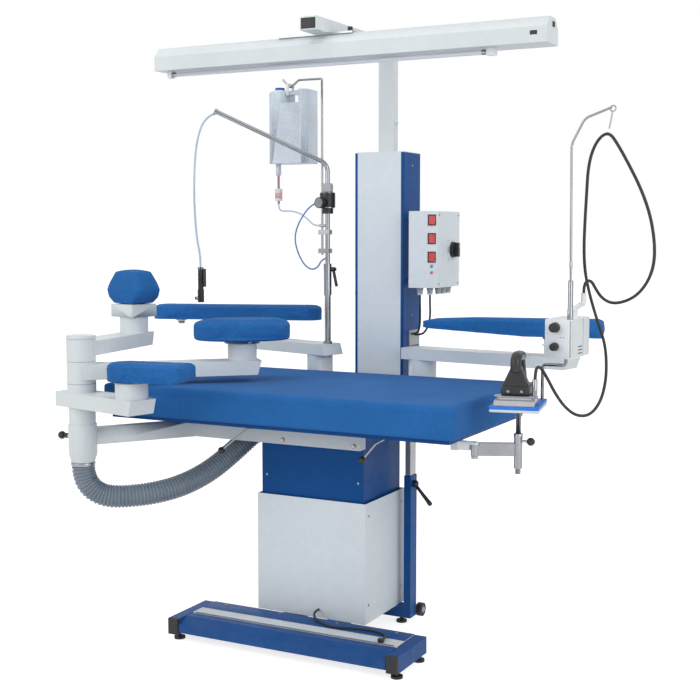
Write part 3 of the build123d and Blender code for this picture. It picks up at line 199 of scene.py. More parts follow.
class Effects:
    """Builds the shader groups that the finishes share."""

    FLOAT, COLOUR, VECTOR = "NodeSocketFloat", "NodeSocketColor", "NodeSocketVector"

    def _open(self, name: str, inputs: Sequence[tuple], outputs: Sequence[tuple]) -> tuple[Graph, dict, bpy.types.Node]:
        """Start a group.

        Args:
            name: Name of the group.
            inputs: Name and socket type of each input.
            outputs: Name and socket type of each output.

        Returns:
            The graph, its inputs by name, and the output node.
        """
        tree = bpy.data.node_groups.new(name, "ShaderNodeTree")
        for label, kind in inputs:
            tree.interface.new_socket(name=label, in_out="INPUT", socket_type=kind)
        for label, kind in outputs:
            tree.interface.new_socket(name=label, in_out="OUTPUT", socket_type=kind)
        source = tree.nodes.new("NodeGroupInput")
        sink = tree.nodes.new("NodeGroupOutput")
        return Graph(tree), {label: source.outputs[label] for label, _ in inputs}, sink

    def mottle(self) -> None:
        """Slow change between two near shades, with the roughness following it."""
        g, i, out = self._open(
            "mottle",
            [("Vector", self.VECTOR), ("Scale", self.FLOAT), ("Base", self.COLOUR), ("Tint", self.COLOUR),
             ("Roughness", self.FLOAT), ("Spread", self.FLOAT)],
            [("Colour", self.COLOUR), ("Roughness", self.FLOAT)],
        )
        broad = g.add("TexNoise", Vector=i["Vector"], Scale=i["Scale"], Detail=4.0).outputs["Fac"]
        fine = g.add("TexNoise", Vector=i["Vector"], Scale=g.math("MULTIPLY", i["Scale"], 14.0), Detail=3.0)
        both = g.math("ADD", g.math("MULTIPLY", broad, 0.65), g.math("MULTIPLY", fine.outputs["Fac"], 0.35))
        share = g.math("MULTIPLY", g.math("SUBTRACT", both, 0.36), 3.4, clamp=True)
        g.tree.links.new(g.mix(share, i["Base"], i["Tint"]), out.inputs["Colour"])
        rough = g.math("ADD", i["Roughness"], g.math("MULTIPLY", g.math("SUBTRACT", share, 0.5), i["Spread"]))
        g.tree.links.new(rough, out.inputs["Roughness"])

    def grain(self) -> None:
        """Fine relief of sprayed paint, moulded plastic and rubber."""
        g, i, out = self._open("grain", [("Vector", self.VECTOR), ("Scale", self.FLOAT)], [("Height", self.FLOAT)])
        fine = g.add("TexNoise", Vector=i["Vector"], Scale=i["Scale"], Detail=2.0, Roughness=0.6).outputs["Fac"]
        slow = g.add("TexNoise", Vector=i["Vector"], Scale=g.math("MULTIPLY", i["Scale"], 0.12)).outputs["Fac"]
        g.tree.links.new(g.math("ADD", fine, g.math("MULTIPLY", slow, 0.8)), out.inputs["Height"])

    def dust(self) -> None:
        """Pale dust that thins out with the height above the floor."""
        g, i, out = self._open(
            "dust", [("Vector", self.VECTOR), ("Colour", self.COLOUR), ("Level", self.FLOAT), ("Amount", self.FLOAT)],
            [("Colour", self.COLOUR)],
        )
        z = g.add("SeparateXYZ", Vector=i["Vector"]).outputs["Z"]
        low = g.math("SUBTRACT", 1.0, g.math("DIVIDE", z, i["Level"]), clamp=True)
        patch = g.add("TexNoise", Vector=i["Vector"], Scale=26.0, Detail=6.0).outputs["Fac"]
        share = g.math("MULTIPLY", g.math("MULTIPLY", low, patch), i["Amount"], clamp=True)
        g.tree.links.new(g.mix(share, i["Colour"], (0.42, 0.42, 0.42, 1)), out.inputs["Colour"])

    def scuffs(self) -> None:
        """Short thin scratches and rubbed patches, as a mask."""
        g, i, out = self._open("scuffs", [("Vector", self.VECTOR), ("Scale", self.FLOAT)], [("Mask", self.FLOAT)])
        bent = g.add("TexNoise", Vector=i["Vector"], Scale=9.0).outputs["Color"]
        spread = g.add("VectorMath", {"operation": "SCALE"}, i0=bent, i3=0.08).outputs[0]
        warped = g.add("VectorMath", {"operation": "ADD"}, i0=i["Vector"], i1=spread).outputs[0]
        cells = g.add("TexVoronoi", {"feature": "DISTANCE_TO_EDGE"}, Vector=warped, Scale=i["Scale"])
        line = g.math("LESS_THAN", cells.outputs["Distance"], 0.012)
        gate = g.add("TexNoise", Vector=i["Vector"], Scale=g.math("MULTIPLY", i["Scale"], 0.6), Detail=3.0)
        open_ = g.math("MULTIPLY", g.math("SUBTRACT", gate.outputs["Fac"], 0.58), 8.0, clamp=True)
        g.tree.links.new(g.math("MULTIPLY", line, open_), out.inputs["Mask"])

    def weave(self) -> None:
        """Crossing threads that show on level and upright faces alike."""
        g, i, out = self._open(
            "weave", [("Vector", self.VECTOR), ("Pitch", self.FLOAT)], [("Height", self.FLOAT), ("Shade", self.FLOAT)]
        )
        part = g.add("SeparateXYZ", Vector=i["Vector"])
        lean = g.math("MULTIPLY", part.outputs["Z"], 0.74)
        turn = g.math("DIVIDE", 6.2832, i["Pitch"])
        warp = g.math("SINE", g.math("MULTIPLY", g.math("ADD", part.outputs["X"], lean), turn))
        weft = g.math("SINE", g.math("MULTIPLY", g.math("ADD", part.outputs["Y"], lean), turn))
        slub = g.add("TexNoise", Vector=i["Vector"], Scale=420.0, Detail=3.0).outputs["Fac"]
        cross = g.math("ADD", g.math("MULTIPLY", g.math("MULTIPLY", warp, weft), 0.5), slub)
        g.tree.links.new(cross, out.inputs["Height"])
        g.tree.links.new(g.math("MULTIPLY", cross, 0.7, clamp=True), out.inputs["Shade"])

    def brushed(self) -> None:
        """Long fine lines along one direction."""
        g, i, out = self._open(
            "brushed", [("Vector", self.VECTOR), ("Stretch", self.VECTOR), ("Roughness", self.FLOAT)],
            [("Height", self.FLOAT), ("Roughness", self.FLOAT)],
        )
        way = g.add("VectorMath", {"operation": "MULTIPLY"}, i0=i["Vector"], i1=i["Stretch"]).outputs[0]
        line = g.add("TexNoise", Vector=way, Scale=1.0, Detail=5.0, Roughness=0.7).outputs["Fac"]
        g.tree.links.new(line, out.inputs["Height"])
        rough = g.math("ADD", i["Roughness"], g.math("MULTIPLY", g.math("SUBTRACT", line, 0.5), 0.22))
        g.tree.links.new(rough, out.inputs["Roughness"])

    def build(self) -> None:
        """Make all the groups."""
        for effect in (self.mottle, self.grain, self.dust, self.scuffs, self.weave, self.brushed):
            effect()


# ---------------------------------------------------------------- finishes
def rgba(colour: Colour) -> tuple[float, float, float, float]:
    """Colour with full alpha."""
    return (*colour, 1.0)


def shade(colour: Colour, factor: float) -> Colour:
    """Colour made darker or lighter by a factor."""
    return tuple(min(1.0, c * factor) for c in colour)


@dataclass(frozen=True)
class Finish:
    """A named surface. Subclasses wire their own shader."""

    name: str
    colour: Colour
    roughness: float = 0.4

    def wire(self, g: Graph, shader: bpy.types.Node, vector: bpy.types.NodeSocket) -> None:
        """Wire the shader's inputs.

        Args:
            g: Graph of the material.
            shader: Its Principled BSDF.
            vector: Object coordinates.
        """
        raise NotImplementedError

    def bump(self, g: Graph, shader: bpy.types.Node, height: object, strength: float, distance: float,
             edge: float = 0.0) -> None:
        """Join a height to the shader's normal, with worn edges where edge is a radius."""
        node = g.add("Bump", Strength=strength, Distance=distance, Height=height)
        if edge:
            rounded = g.add("Bevel", {"samples": 4}, Radius=edge)
            g.tree.links.new(rounded.outputs[0], node.inputs["Normal"])
        g.tree.links.new(node.outputs[0], shader.inputs["Normal"])

    @lru_cache(maxsize=None)
    def material(self) -> bpy.types.Material:
        """Make the material once and hand it out after that."""
        material = bpy.data.materials.new(self.name)
        material.use_nodes = True
        g = Graph(material.node_tree)
        shader = material.node_tree.nodes["Principled BSDF"]
        shader.inputs["Base Color"].default_value = rgba(self.colour)
        shader.inputs["Roughness"].default_value = self.roughness
        material.diffuse_color = rgba(self.colour)
        self.wire(g, shader, g.add("TexCoord").outputs["Object"])
        return material

    def dress(self, *pieces: bpy.types.Object) -> None:
        """Give pieces this finish."""
        for piece in pieces:
            piece.data.materials.clear()
            piece.data.materials.append(self.material())


@dataclass(frozen=True)
class Paint(Finish):
    """Sprayed paint on sheet metal."""

    tint: float = 0.93
    dust: float = 0.0
    edge: float = 0.0012

    def wire(self, g: Graph, shader: bpy.types.Node, vector: bpy.types.NodeSocket) -> None:
        """Mottle, scuffs, dust near the floor and orange peel."""
        mottle = g.group("mottle", Vector=vector, Scale=3.0, Base=rgba(self.colour), Tint=rgba(shade(self.colour, self.tint)),
                         Roughness=self.roughness, Spread=0.12)
        scuff = g.group("scuffs", Vector=vector, Scale=7.0).outputs[0]
        worn = g.mix(g.math("MULTIPLY", scuff, 0.1), mottle.outputs[0], rgba(shade(self.colour, 0.55)))
        if self.dust:
            worn = g.group("dust", Vector=vector, Colour=worn, Level=0.3, Amount=self.dust).outputs[0]
        g.tree.links.new(worn, shader.inputs["Base Color"])
        g.tree.links.new(mottle.outputs[1], shader.inputs["Roughness"])
        shader.inputs["Specular IOR Level"].default_value = 0.12
        self.bump(g, shader, g.group("grain", Vector=vector, Scale=900.0).outputs[0], 0.12, 0.0004, self.edge)


@dataclass(frozen=True)
class Metal(Finish):
    """Bare or plated metal."""

    stretch: tuple[float, float, float] = (60.0, 60.0, 60.0)
    relief: float = 0.1

    def wire(self, g: Graph, shader: bpy.types.Node, vector: bpy.types.NodeSocket) -> None:
        """Fine lines in the roughness and relief, and slightly duller patches."""
        shader.inputs["Metallic"].default_value = 1.0
        lines = g.group("brushed", Vector=vector, Stretch=self.stretch, Roughness=self.roughness)
        mottle = g.group("mottle", Vector=vector, Scale=9.0, Base=rgba(self.colour), Tint=rgba(shade(self.colour, 0.8)),
                         Roughness=self.roughness, Spread=0.1)
        g.tree.links.new(mottle.outputs[0], shader.inputs["Base Color"])
        g.tree.links.new(lines.outputs[1], shader.inputs["Roughness"])
        self.bump(g, shader, lines.outputs[0], self.relief, 0.0003, 0.0006)


@dataclass(frozen=True)
class Plastic(Finish):
    """Moulded plastic or rubber with a fine grain."""

    grain: float = 700.0
    relief: float = 0.3
    clear: float = 0.0
    scuff: float = 0.3

    def wire(self, g: Graph, shader: bpy.types.Node, vector: bpy.types.NodeSocket) -> None:
        """Grain, mottle and a few scuffs, and light passing through where it is clear."""
        mottle = g.group("mottle", Vector=vector, Scale=8.0, Base=rgba(self.colour), Tint=rgba(shade(self.colour, 1.25)),
                         Roughness=self.roughness, Spread=0.16)
        scuff = g.group("scuffs", Vector=vector, Scale=16.0).outputs[0]
        worn = g.mix(g.math("MULTIPLY", scuff, self.scuff), mottle.outputs[0], (0.35, 0.35, 0.36, 1))
        g.tree.links.new(worn, shader.inputs["Base Color"])
        g.tree.links.new(mottle.outputs[1], shader.inputs["Roughness"])
        shader.inputs["Transmission Weight"].default_value = self.clear
        shader.inputs["IOR"].default_value = 1.45
        self.bump(g, shader, g.group("grain", Vector=vector, Scale=self.grain).outputs[0], self.relief, 0.0004, 0.0008)


@dataclass(frozen=True)
class Cloth(Finish):
    """Woven cover over foam."""

    pitch: float = 0.0014

    def wire(self, g: Graph, shader: bpy.types.Node, vector: bpy.types.NodeSocket) -> None:
        """Weave, slow shade changes and soft creases."""
        weave = g.group("weave", Vector=vector, Pitch=self.pitch)
        mottle = g.group("mottle", Vector=vector, Scale=5.0, Base=rgba(self.colour), Tint=rgba(shade(self.colour, 0.8)),
                         Roughness=self.roughness, Spread=0.08)
        threads = g.mix(g.math("MULTIPLY", weave.outputs[1], 0.28), mottle.outputs[0], rgba(shade(self.colour, 1.7)))
        g.tree.links.new(threads, shader.inputs["Base Color"])
        g.tree.links.new(mottle.outputs[1], shader.inputs["Roughness"])
        crease = g.add("TexNoise", Vector=vector, Scale=11.0, Detail=2.0).outputs["Fac"]
        height = g.math("ADD", weave.outputs[0], g.math("MULTIPLY", crease, 3.0))
        self.bump(g, shader, height, 0.35, 0.0009)
        shader.inputs["Sheen Weight"].default_value = 0.05
        shader.inputs["Sheen Roughness"].default_value = 0.45
        shader.inputs["Specular IOR Level"].default_value = 0.1


@dataclass(frozen=True)
class Light(Finish):
    """Surface that glows a little, such as a lamp tube or an indicator; on the printed dial dashes the glow is painted
    light.
    """

    strength: float = 1.0

    def wire(self, g: Graph, shader: bpy.types.Node, vector: bpy.types.NodeSocket) -> None:
        """Glow with a faint change over the surface."""
        mottle = g.group("mottle", Vector=vector, Scale=14.0, Base=rgba(self.colour), Tint=rgba(shade(self.colour, 0.94)),
                         Roughness=self.roughness, Spread=0.05)
        g.tree.links.new(mottle.outputs[0], shader.inputs["Base Color"])
        g.tree.links.new(mottle.outputs[0], shader.inputs["Emission Color"])
        g.tree.links.new(mottle.outputs[1], shader.inputs["Roughness"])
        shader.inputs["Emission Strength"].default_value = self.strength


BLUE: Colour = (0.004, 0.078, 0.29)
CLOTH_BLUE: Colour = (0.022, 0.14, 0.41)
CREAM: Colour = (0.72, 0.77, 0.79)
WHITE: Colour = (0.76, 0.82, 0.86)
BLACK: Colour = (0.012, 0.012, 0.013)

BLUE_PAINT = Paint("royal_blue_paint", BLUE, 0.42, tint=0.8)
FLOOR_BLUE = Paint("royal_blue_paint_low", BLUE, 0.45, tint=0.8, dust=0.1)
CREAM_PAINT = Paint("cream_paint", CREAM, 0.36)
WHITE_PAINT = Paint("white_paint", WHITE, 0.33)
LOW_WHITE = Paint("white_paint_low", WHITE, 0.36, dust=0.15)
STRIP_CREAM = Paint("cream_strip", CREAM, 0.42, tint=0.9, dust=0.15)
STEEL = Metal("brushed_steel", (0.36, 0.37, 0.39), 0.3, (400.0, 400.0, 9.0), 0.25)
CHROME = Metal("polished_chrome", (0.28, 0.30, 0.32), 0.14, (40.0, 40.0, 6.0), 0.005)
CAST = Metal("cast_metal", (0.33, 0.34, 0.36), 0.38, (260.0, 260.0, 260.0), 0.6)
SOLE = Metal("polished_sole", (0.42, 0.43, 0.45), 0.2, (300.0, 12.0, 300.0), 0.02)
RUBBER = Plastic("black_rubber", (0.018, 0.018, 0.019), 0.62, grain=420.0, relief=0.4)
BLACK_PLASTIC = Plastic("black_plastic", BLACK, 0.42)
IRON_BLACK = Plastic("iron_casing", (0.016, 0.016, 0.018), 0.36, grain=900.0, relief=0.35)
GREY_PLASTIC = Plastic("grey_plastic", (0.36, 0.38, 0.40), 0.42)
PALE_PLASTIC = Plastic("pale_plastic", (0.72, 0.74, 0.76), 0.36, scuff=0.1)
RED_PLASTIC = Plastic("red_rocker", (0.55, 0.012, 0.012), 0.24, relief=0.1, scuff=0.1)
BLUE_PLASTIC = Plastic("blue_cap", (0.01, 0.09, 0.38), 0.32)
MAT_BLUE = Plastic("silicone_mat", (0.012, 0.16, 0.62), 0.5, grain=300.0)
HOSE_GREY = Plastic("ribbed_hose", (0.16, 0.20, 0.245), 0.38, grain=500.0, relief=0.2, scuff=0.2)
HOSE_BLACK = Plastic("black_hose", (0.014, 0.014, 0.016), 0.5, grain=800.0)
HOSE_CLEAR = Plastic("clear_hose", (0.42, 0.52, 0.68), 0.25, relief=0.0, clear=0.0, scuff=0.02)
HOSE_BLUE = Plastic("blue_air_line", (0.06, 0.25, 0.55), 0.25, relief=0.05, clear=0.3, scuff=0.05)
CAN_PLASTIC = Plastic("water_can", (0.58, 0.65, 0.72), 0.34, grain=900.0, relief=0.08, clear=0.0, scuff=0.02)
PINK_FILTER = Plastic("filter_bowl", (0.85, 0.45, 0.45), 0.2, relief=0.05, clear=0.5, scuff=0.05)
YELLOW_PLASTIC = Plastic("yellow_ring", (0.80, 0.60, 0.05), 0.35)
BLUE_CLOTH = Cloth("blue_cover", CLOTH_BLUE, 0.82)
THREAD = Cloth("blue_seam", shade(CLOTH_BLUE, 1.15), 0.75, pitch=0.0008)
TUBE_GLOW = Light("lamp_tube", (0.66, 0.69, 0.74), 0.2, strength=0.12)
RED_LAMP_AND_PAINTED_GLOW = Light("red_light", (0.8, 0.03, 0.02), 0.2, strength=0.35)
BLUE_LAMP_AND_PAINTED_GLOW = Light("blue_light", (0.03, 0.16, 0.75), 0.2, strength=0.3)
DIAL = Plastic("gauge_dial", (0.85, 0.85, 0.83), 0.3, relief=0.02, scuff=0.0)


# ---------------------------------------------------------------- bench tools
def activate(obj: bpy.types.Object) -> None:
    """Leave one object selected and active."""
    bpy.ops.object.select_all(action="DESELECT")
    obj.select_set(True)
    bpy.context.view_layer.objects.active = obj


def settle(obj: bpy.types.Object, smooth: float = 32.0) -> bpy.types.Object:
    """Apply an object's place, turn and size, and smooth its gentle edges.

    Args:
        obj: Mesh object.
        smooth: Largest angle in degrees that is shaded smooth.

    Returns:
        The same object.
    """
    activate(obj)
    bpy.ops.object.transform_apply(location=True, rotation=True, scale=True)
    bpy.ops.object.shade_smooth_by_angle(angle=math.radians(smooth))
    return obj


def pick(obj: bpy.types.Object, mode: str, test: Callable[..., bool]) -> None:
    """Select by place and go to edit mode.

    Args:
        obj: Mesh object.
        mode: FACE or EDGE.
        test: For a face takes its centre and normal, for an edge its two ends.
    """
    activate(obj)
    mesh = obj.data
    for group in (mesh.vertices, mesh.edges, mesh.polygons):
        group.foreach_set("select", [False] * len(group))
    if mode == "FACE":
        for face in mesh.polygons:
            face.select = test(face.center, face.normal)
    else:
        for edge in mesh.edges:
            edge.select = test(*(mesh.vertices[v].co for v in edge.vertices))
    bpy.ops.object.mode_set(mode="EDIT")
    bpy.ops.mesh.select_mode(type=mode)


def leave() -> None:
    """Go back to object mode."""
    bpy.ops.object.mode_set(mode="OBJECT")


def apply(obj: bpy.types.Object, kind: str, **settings: object) -> None:
    """Add a modifier, set it and apply it.

    Args:
        obj: Mesh object.
        kind: Type of the modifier.
        **settings: Its properties.
    """
    activate(obj)
    modifier = obj.modifiers.new(kind.lower(), kind)
    for key, value in settings.items():
        setattr(modifier, key, value)
    bpy.ops.object.modifier_apply(modifier=modifier.name)


def box(name: str, low: Point, high: Point, edge: float = 0.001, rounds: int = 2) -> bpy.types.Object:
    """Block between two corners with rounded edges.

    Args:
        name: Name of the piece.
        low: Lowest corner.
        high: Highest corner.
        edge: Radius of its edges.
        rounds: Segments of the rounding.

    Returns:
        The block.
    """
    low, high = Vector(low), Vector(high)
    bpy.ops.object.select_all(action="DESELECT")
    bpy.ops.mesh.primitive_cube_add(size=1, location=(low + high) / 2)
    obj = bpy.context.object
    obj.name = name
    obj.scale = high - low
    activate(obj)
    bpy.ops.object.transform_apply(location=True, rotation=True, scale=True)
    pick(obj, "EDGE", lambda a, b: True)
    bpy.ops.mesh.bevel(offset=edge, segments=rounds, affect="EDGES")
    leave()
    return settle(obj)


def lathe(name: str, profile: Sequence[tuple[float, float]], start: Point, way: Point, sides: int = 40) -> bpy.types.Object:
    """Turned piece: a disc drawn up and resized along its axis.

    Args:
        name: Name of the piece.
        profile: Radius and distance along the axis of each ring.
        start: Point on the axis at distance 0.
        way: Direction of the axis.
        sides: Number of sides.

    Returns:
        The turned piece.
    """
    (radius, height), *rings = profile
    bpy.ops.object.select_all(action="DESELECT")
    bpy.ops.mesh.primitive_circle_add(vertices=sides, radius=radius, fill_type="NGON", location=(0, 0, 0))
    obj = bpy.context.object
    obj.name = name
    pick(obj, "FACE", lambda c, n: True)
    bpy.ops.transform.translate(value=(0, 0, height))
    for r, h in rings:
        bpy.ops.mesh.extrude_region_move(TRANSFORM_OT_translate={"value": (0, 0, h - height)})
        bpy.ops.transform.resize(value=(r / radius, r / radius, 1), center_override=(0, 0, h))
        radius, height = r, h
    bpy.ops.mesh.select_all(action="SELECT")
    bpy.ops.mesh.normals_make_consistent(inside=False)
    leave()
    obj.rotation_mode = "QUATERNION"
    obj.rotation_quaternion = Vector(way).to_track_quat("Z", "Y")
    obj.location = start
    return settle(obj)


def rod(name: str, start: Point, end: Point, radius: float, rim: float = 0.0008, sides: int = 32) -> bpy.types.Object:
    """Round bar with broken rims.

    Args:
        name: Name of the piece.
        start: Middle of one end.
        end: Middle of the other end.
        radius: Radius of the bar.
        rim: Size of the broken rims.
        sides: Number of sides.

    Returns:
        The bar.
    """
    way = Vector(end) - Vector(start)
    d = way.length
    profile = [(radius - rim, 0), (radius, rim), (radius, d - rim), (radius - rim, d)]
    return lathe(name, profile, start, way, sides)


def knob(name: str, centre: Point, way: Point, radius: float) -> bpy.types.Object:
    """Ball drawn as rings along its rod.

    Args:
        name: Name of the piece.
        centre: Middle of the ball.
        way: Direction of the rod that carries it.
        radius: Radius of the ball.

    Returns:
        The ball.
    """
    turns = [math.radians(a) for a in range(-84, 85, 12)]
    return lathe(name, [(radius * math.cos(a), radius * math.sin(a)) for a in turns], centre, way, 32)


def wire(name: str, points: Sequence[Point], radius: float, closed: bool = False, order: int = 3) -> bpy.types.Object:
    """Bent round wire as a mesh.

    Args:
        name: Name of the piece.
        points: Control points of its centre line.
        radius: Radius of the wire.
        closed: Whether it is a ring.
        order: Order of the line; 2 gives straight runs.

    Returns:
        The wire.
    """
    obj = nurbs(name, points, radius, closed, order)
    activate(obj)
    bpy.ops.object.convert(target="MESH")
    obj = bpy.context.object
    pick(obj, "FACE", lambda c, n: True)
    bpy.ops.mesh.remove_doubles(threshold=1e-6)
    bpy.ops.mesh.select_all(action="SELECT")
    bpy.ops.mesh.normals_make_consistent(inside=False)
    leave()
    return settle(obj, 50)


def nurbs(name: str, points: Sequence[Point], radius: float, closed: bool = False, order: int = 3) -> bpy.types.Object:
    """Round curve through its control polygon.

    Args:
        name: Name of the piece.
        points: Control points.
        radius: Radius of its section, or 0 for a bare line.
        closed: Whether it is a ring.
        order: Order of the line.

    Returns:
        The curve object.
    """
    curve = bpy.data.curves.new(name, "CURVE")
    curve.dimensions = "3D"
    curve.resolution_u = 8
    curve.bevel_depth = radius
    curve.bevel_resolution = 4
    curve.use_fill_caps = True
    spline = curve.splines.new("NURBS")
    spline.points.add(len(points) - 1)
    for target, point in zip(spline.points, points):
        target.co = (*point, 1)
    spline.order_u = order
    spline.use_endpoint_u = not closed
    spline.use_cyclic_u = closed
    obj = bpy.data.objects.new(name, curve)
    bpy.context.scene.collection.objects.link(obj)
    return obj


def copies(obj: bpy.types.Object, offsets: Sequence[Point]) -> list[bpy.types.Object]:
    """Copies of a piece, each with its own mesh.

    Args:
        obj: Piece to copy.
        offsets: How far each copy is from it.

    Returns:
        The copies.
    """
    made = []
    for number, offset in enumerate(offsets):
        copy = obj.copy()
        copy.data = obj.data.copy()
        copy.data.transform(Matrix.Translation(Vector(offset)))
        copy.name = f"{obj.name}_{number + 2}"
        bpy.context.scene.collection.objects.link(copy)
        made.append(copy)
    return made


def join(name: str, pieces: Sequence[bpy.types.Object]) -> bpy.types.Object:
    """Join pieces of one finish into one mesh.

    Args:
        name: Name of the joined piece.
        pieces: What is joined.

    Returns:
        The joined piece.
    """
    activate(pieces[0])
    for piece in pieces[1:]:
        piece.select_set(True)
    bpy.ops.object.join()
    obj = bpy.context.object
    obj.name = name
    return obj


def parts_of(node: str) -> list[bpy.types.Object]:
    """Merged copies of the separate solids of a CAD node, largest box first.

    Args:
        node: Name of the node.

    Returns:
        One object per solid.
    """
    bpy.ops.object.select_all(action="DESELECT")
    copy = frame["nodes"][node].copy()
    copy.data = copy.data.copy()
    copy.parent = None
    copy.hide_viewport = copy.hide_render = False
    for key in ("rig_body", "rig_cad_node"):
        if key in copy:
            del copy[key]
    bpy.context.scene.collection.objects.link(copy)
    activate(copy)
    pick(copy, "FACE", lambda c, n: True)
    bpy.ops.mesh.select_all(action="SELECT")
    bpy.ops.mesh.remove_doubles(threshold=1e-6)
    bpy.ops.mesh.separate(type="LOOSE")
    leave()
    found = list(bpy.context.selected_objects)
    found.sort(key=lambda o: -o.dimensions.x * o.dimensions.y * o.dimensions.z)
    for number, part in enumerate(found):
        part.name = f"{node}_part_{number + 1}"
        settle(part)
    return found


def repaint(obj: bpy.types.Object, finish: Finish, test: Callable[[Vector], bool]) -> None:
    """Give some faces of a piece another finish.

    Args:
        obj: The piece.
        finish: The other finish.
        test: Takes a face's centre and says whether it is one of them.
    """
    obj.data.materials.append(finish.material())
    index = len(obj.data.materials) - 1
    for face in obj.data.polygons:
        if test(face.center):
            face.material_index = index


def seat(body: str, slot: Slot, *pieces: bpy.types.Object) -> None:
    """Let pieces ride on a body.

    Args:
        body: CAD body.
        slot: The record's material slot; not used.
        *pieces: What rides.
    """
    for piece in pieces:
        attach(piece, body)


def screw(name: str, place: Point, way: Point, radius: float = 0.004) -> bpy.types.Object:
    """Domed screw with a sunk drive.

    Args:
        name: Name of the piece.
        place: Point on the surface under its head.
        way: Outward direction.
        radius: Radius of the head.

    Returns:
        The screw.
    """
    r = radius
    profile = [(r, 0), (r, 0.25 * r), (0.86 * r, 0.5 * r), (0.45 * r, 0.62 * r), (0.42 * r, 0.2 * r)]
    return lathe(name, profile, place, way, 20)


def bolt(name: str, place: Point, way: Point, radius: float = 0.008) -> bpy.types.Object:
    """Washer with a chamfered hexagon head."""
    r = radius
    washer = lathe(name + "_washer", [(1.3 * r, 0), (1.3 * r, 0.2 * r)], place, way, 32)
    head = lathe(name + "_head", [(r, 0.2 * r), (r, 0.8 * r), (0.82 * r, 0.95 * r)], place, way, 6)
    return join(name, [washer, head])


def dress_nodes(finish: Finish, *nodes: str) -> None:
    """Give CAD nodes that keep their shape a finish."""
    finish.dress(*(frame["nodes"][n] for n in nodes))


@dataclass
class Assembly:
    """A group of pieces on the station."""

    title: str = ""

    def build(self) -> None:
        """Make and dress every piece."""
        raise NotImplementedError


# ---------------------------------------------------------------- studio
@dataclass
class Studio(Assembly):
    """Pale floor, soft lights and the camera."""

    title: str = "studio"
    eye: tuple[float, float, float] = (2.0679, -3.8513, 1.4333)
    tilt: float = 84.58
    pan: float = 27.29
    lens: float = 62.28

    def build(self) -> None:
        """Make the camera, the floor, the lights and the sky."""
        self.camera()
        self.floor()
        self.lights()
        self.sky()

    def camera(self) -> None:
        """Camera at the operator's right."""
        data = bpy.data.cameras.new("camera")
        data.lens, data.sensor_width = self.lens, 36
        data.clip_end = 200
        camera = bpy.data.objects.new("camera", data)
        camera.location = self.eye
        camera.rotation_euler = (math.radians(self.tilt), 0, math.radians(self.pan))
        bpy.context.scene.collection.objects.link(camera)
        bpy.context.scene.camera = camera

    def seen(self, g: Graph) -> bpy.types.NodeSocket:
        """Mask of the rays that see the backdrop itself, a mirror image of it or a view through glass."""
        path = g.add("LightPath")
        direct = g.math("MAXIMUM", path.outputs["Is Camera Ray"], path.outputs["Is Glossy Ray"])
        return g.math("MAXIMUM", direct, path.outputs["Is Transmission Ray"])

    def floor(self) -> None:
        """White floor that keeps the station's shadow."""
        bpy.ops.object.select_all(action="DESELECT")
        bpy.ops.mesh.primitive_plane_add(size=80, location=(0, 0, -0.0005))
        floor = settle(bpy.context.object)
        floor.name = "floor"
        material = bpy.data.materials.new("studio_floor")
        material.use_nodes = True
        g = Graph(material.node_tree)
        out = material.node_tree.nodes["Material Output"]
        plain = g.add("BsdfDiffuse", Color=(0.72, 0.72, 0.72, 1))
        glow = g.add("Emission", Color=(1, 1, 1, 1), Strength=0.75)
        both = g.add("AddShader", i0=plain.outputs[0], i1=glow.outputs[0])
        mixed = g.add("MixShader", i0=self.seen(g), i1=plain.outputs[0], i2=both.outputs[0])
        g.tree.links.new(mixed.outputs[0], out.inputs["Surface"])
        floor.data.materials.append(material)

    def lights(self) -> None:
        """Large soft lamps at the front left, the right and above."""
        for name, place, size, power in (
            ("key", (-2.6, -4.6, 3.0), 3.2, 84.0),
            ("fill", (4.6, -2.2, 2.4), 3.0, 78.0),
            ("top", (0.2, -0.6, 5.2), 3.4, 42.0),
        ):
            lamp = bpy.data.lights.new(name, "AREA")
            lamp.size, lamp.energy = size, power
            obj = bpy.data.objects.new(name, lamp)
            obj.location = place
            obj.rotation_euler = (Vector((0, 0, 1.0)) - Vector(place)).to_track_quat("-Z", "Y").to_euler()
            bpy.context.scene.collection.objects.link(obj)

    def sky(self) -> None:
        """Even light all round, white where it is seen."""
        world = bpy.data.worlds.new("studio")
        world.use_nodes = True
        g = Graph(world.node_tree)
        strength = g.math("ADD", g.math("MULTIPLY", self.seen(g), 0.4), 0.6)
        shader = world.node_tree.nodes["Background"]
        shader.inputs["Color"].default_value = (1, 1, 1, 1)
        g.tree.links.new(strength, shader.inputs["Strength"])
        bpy.context.scene.world = world
        bpy.context.scene.view_settings.view_transform = "Standard"


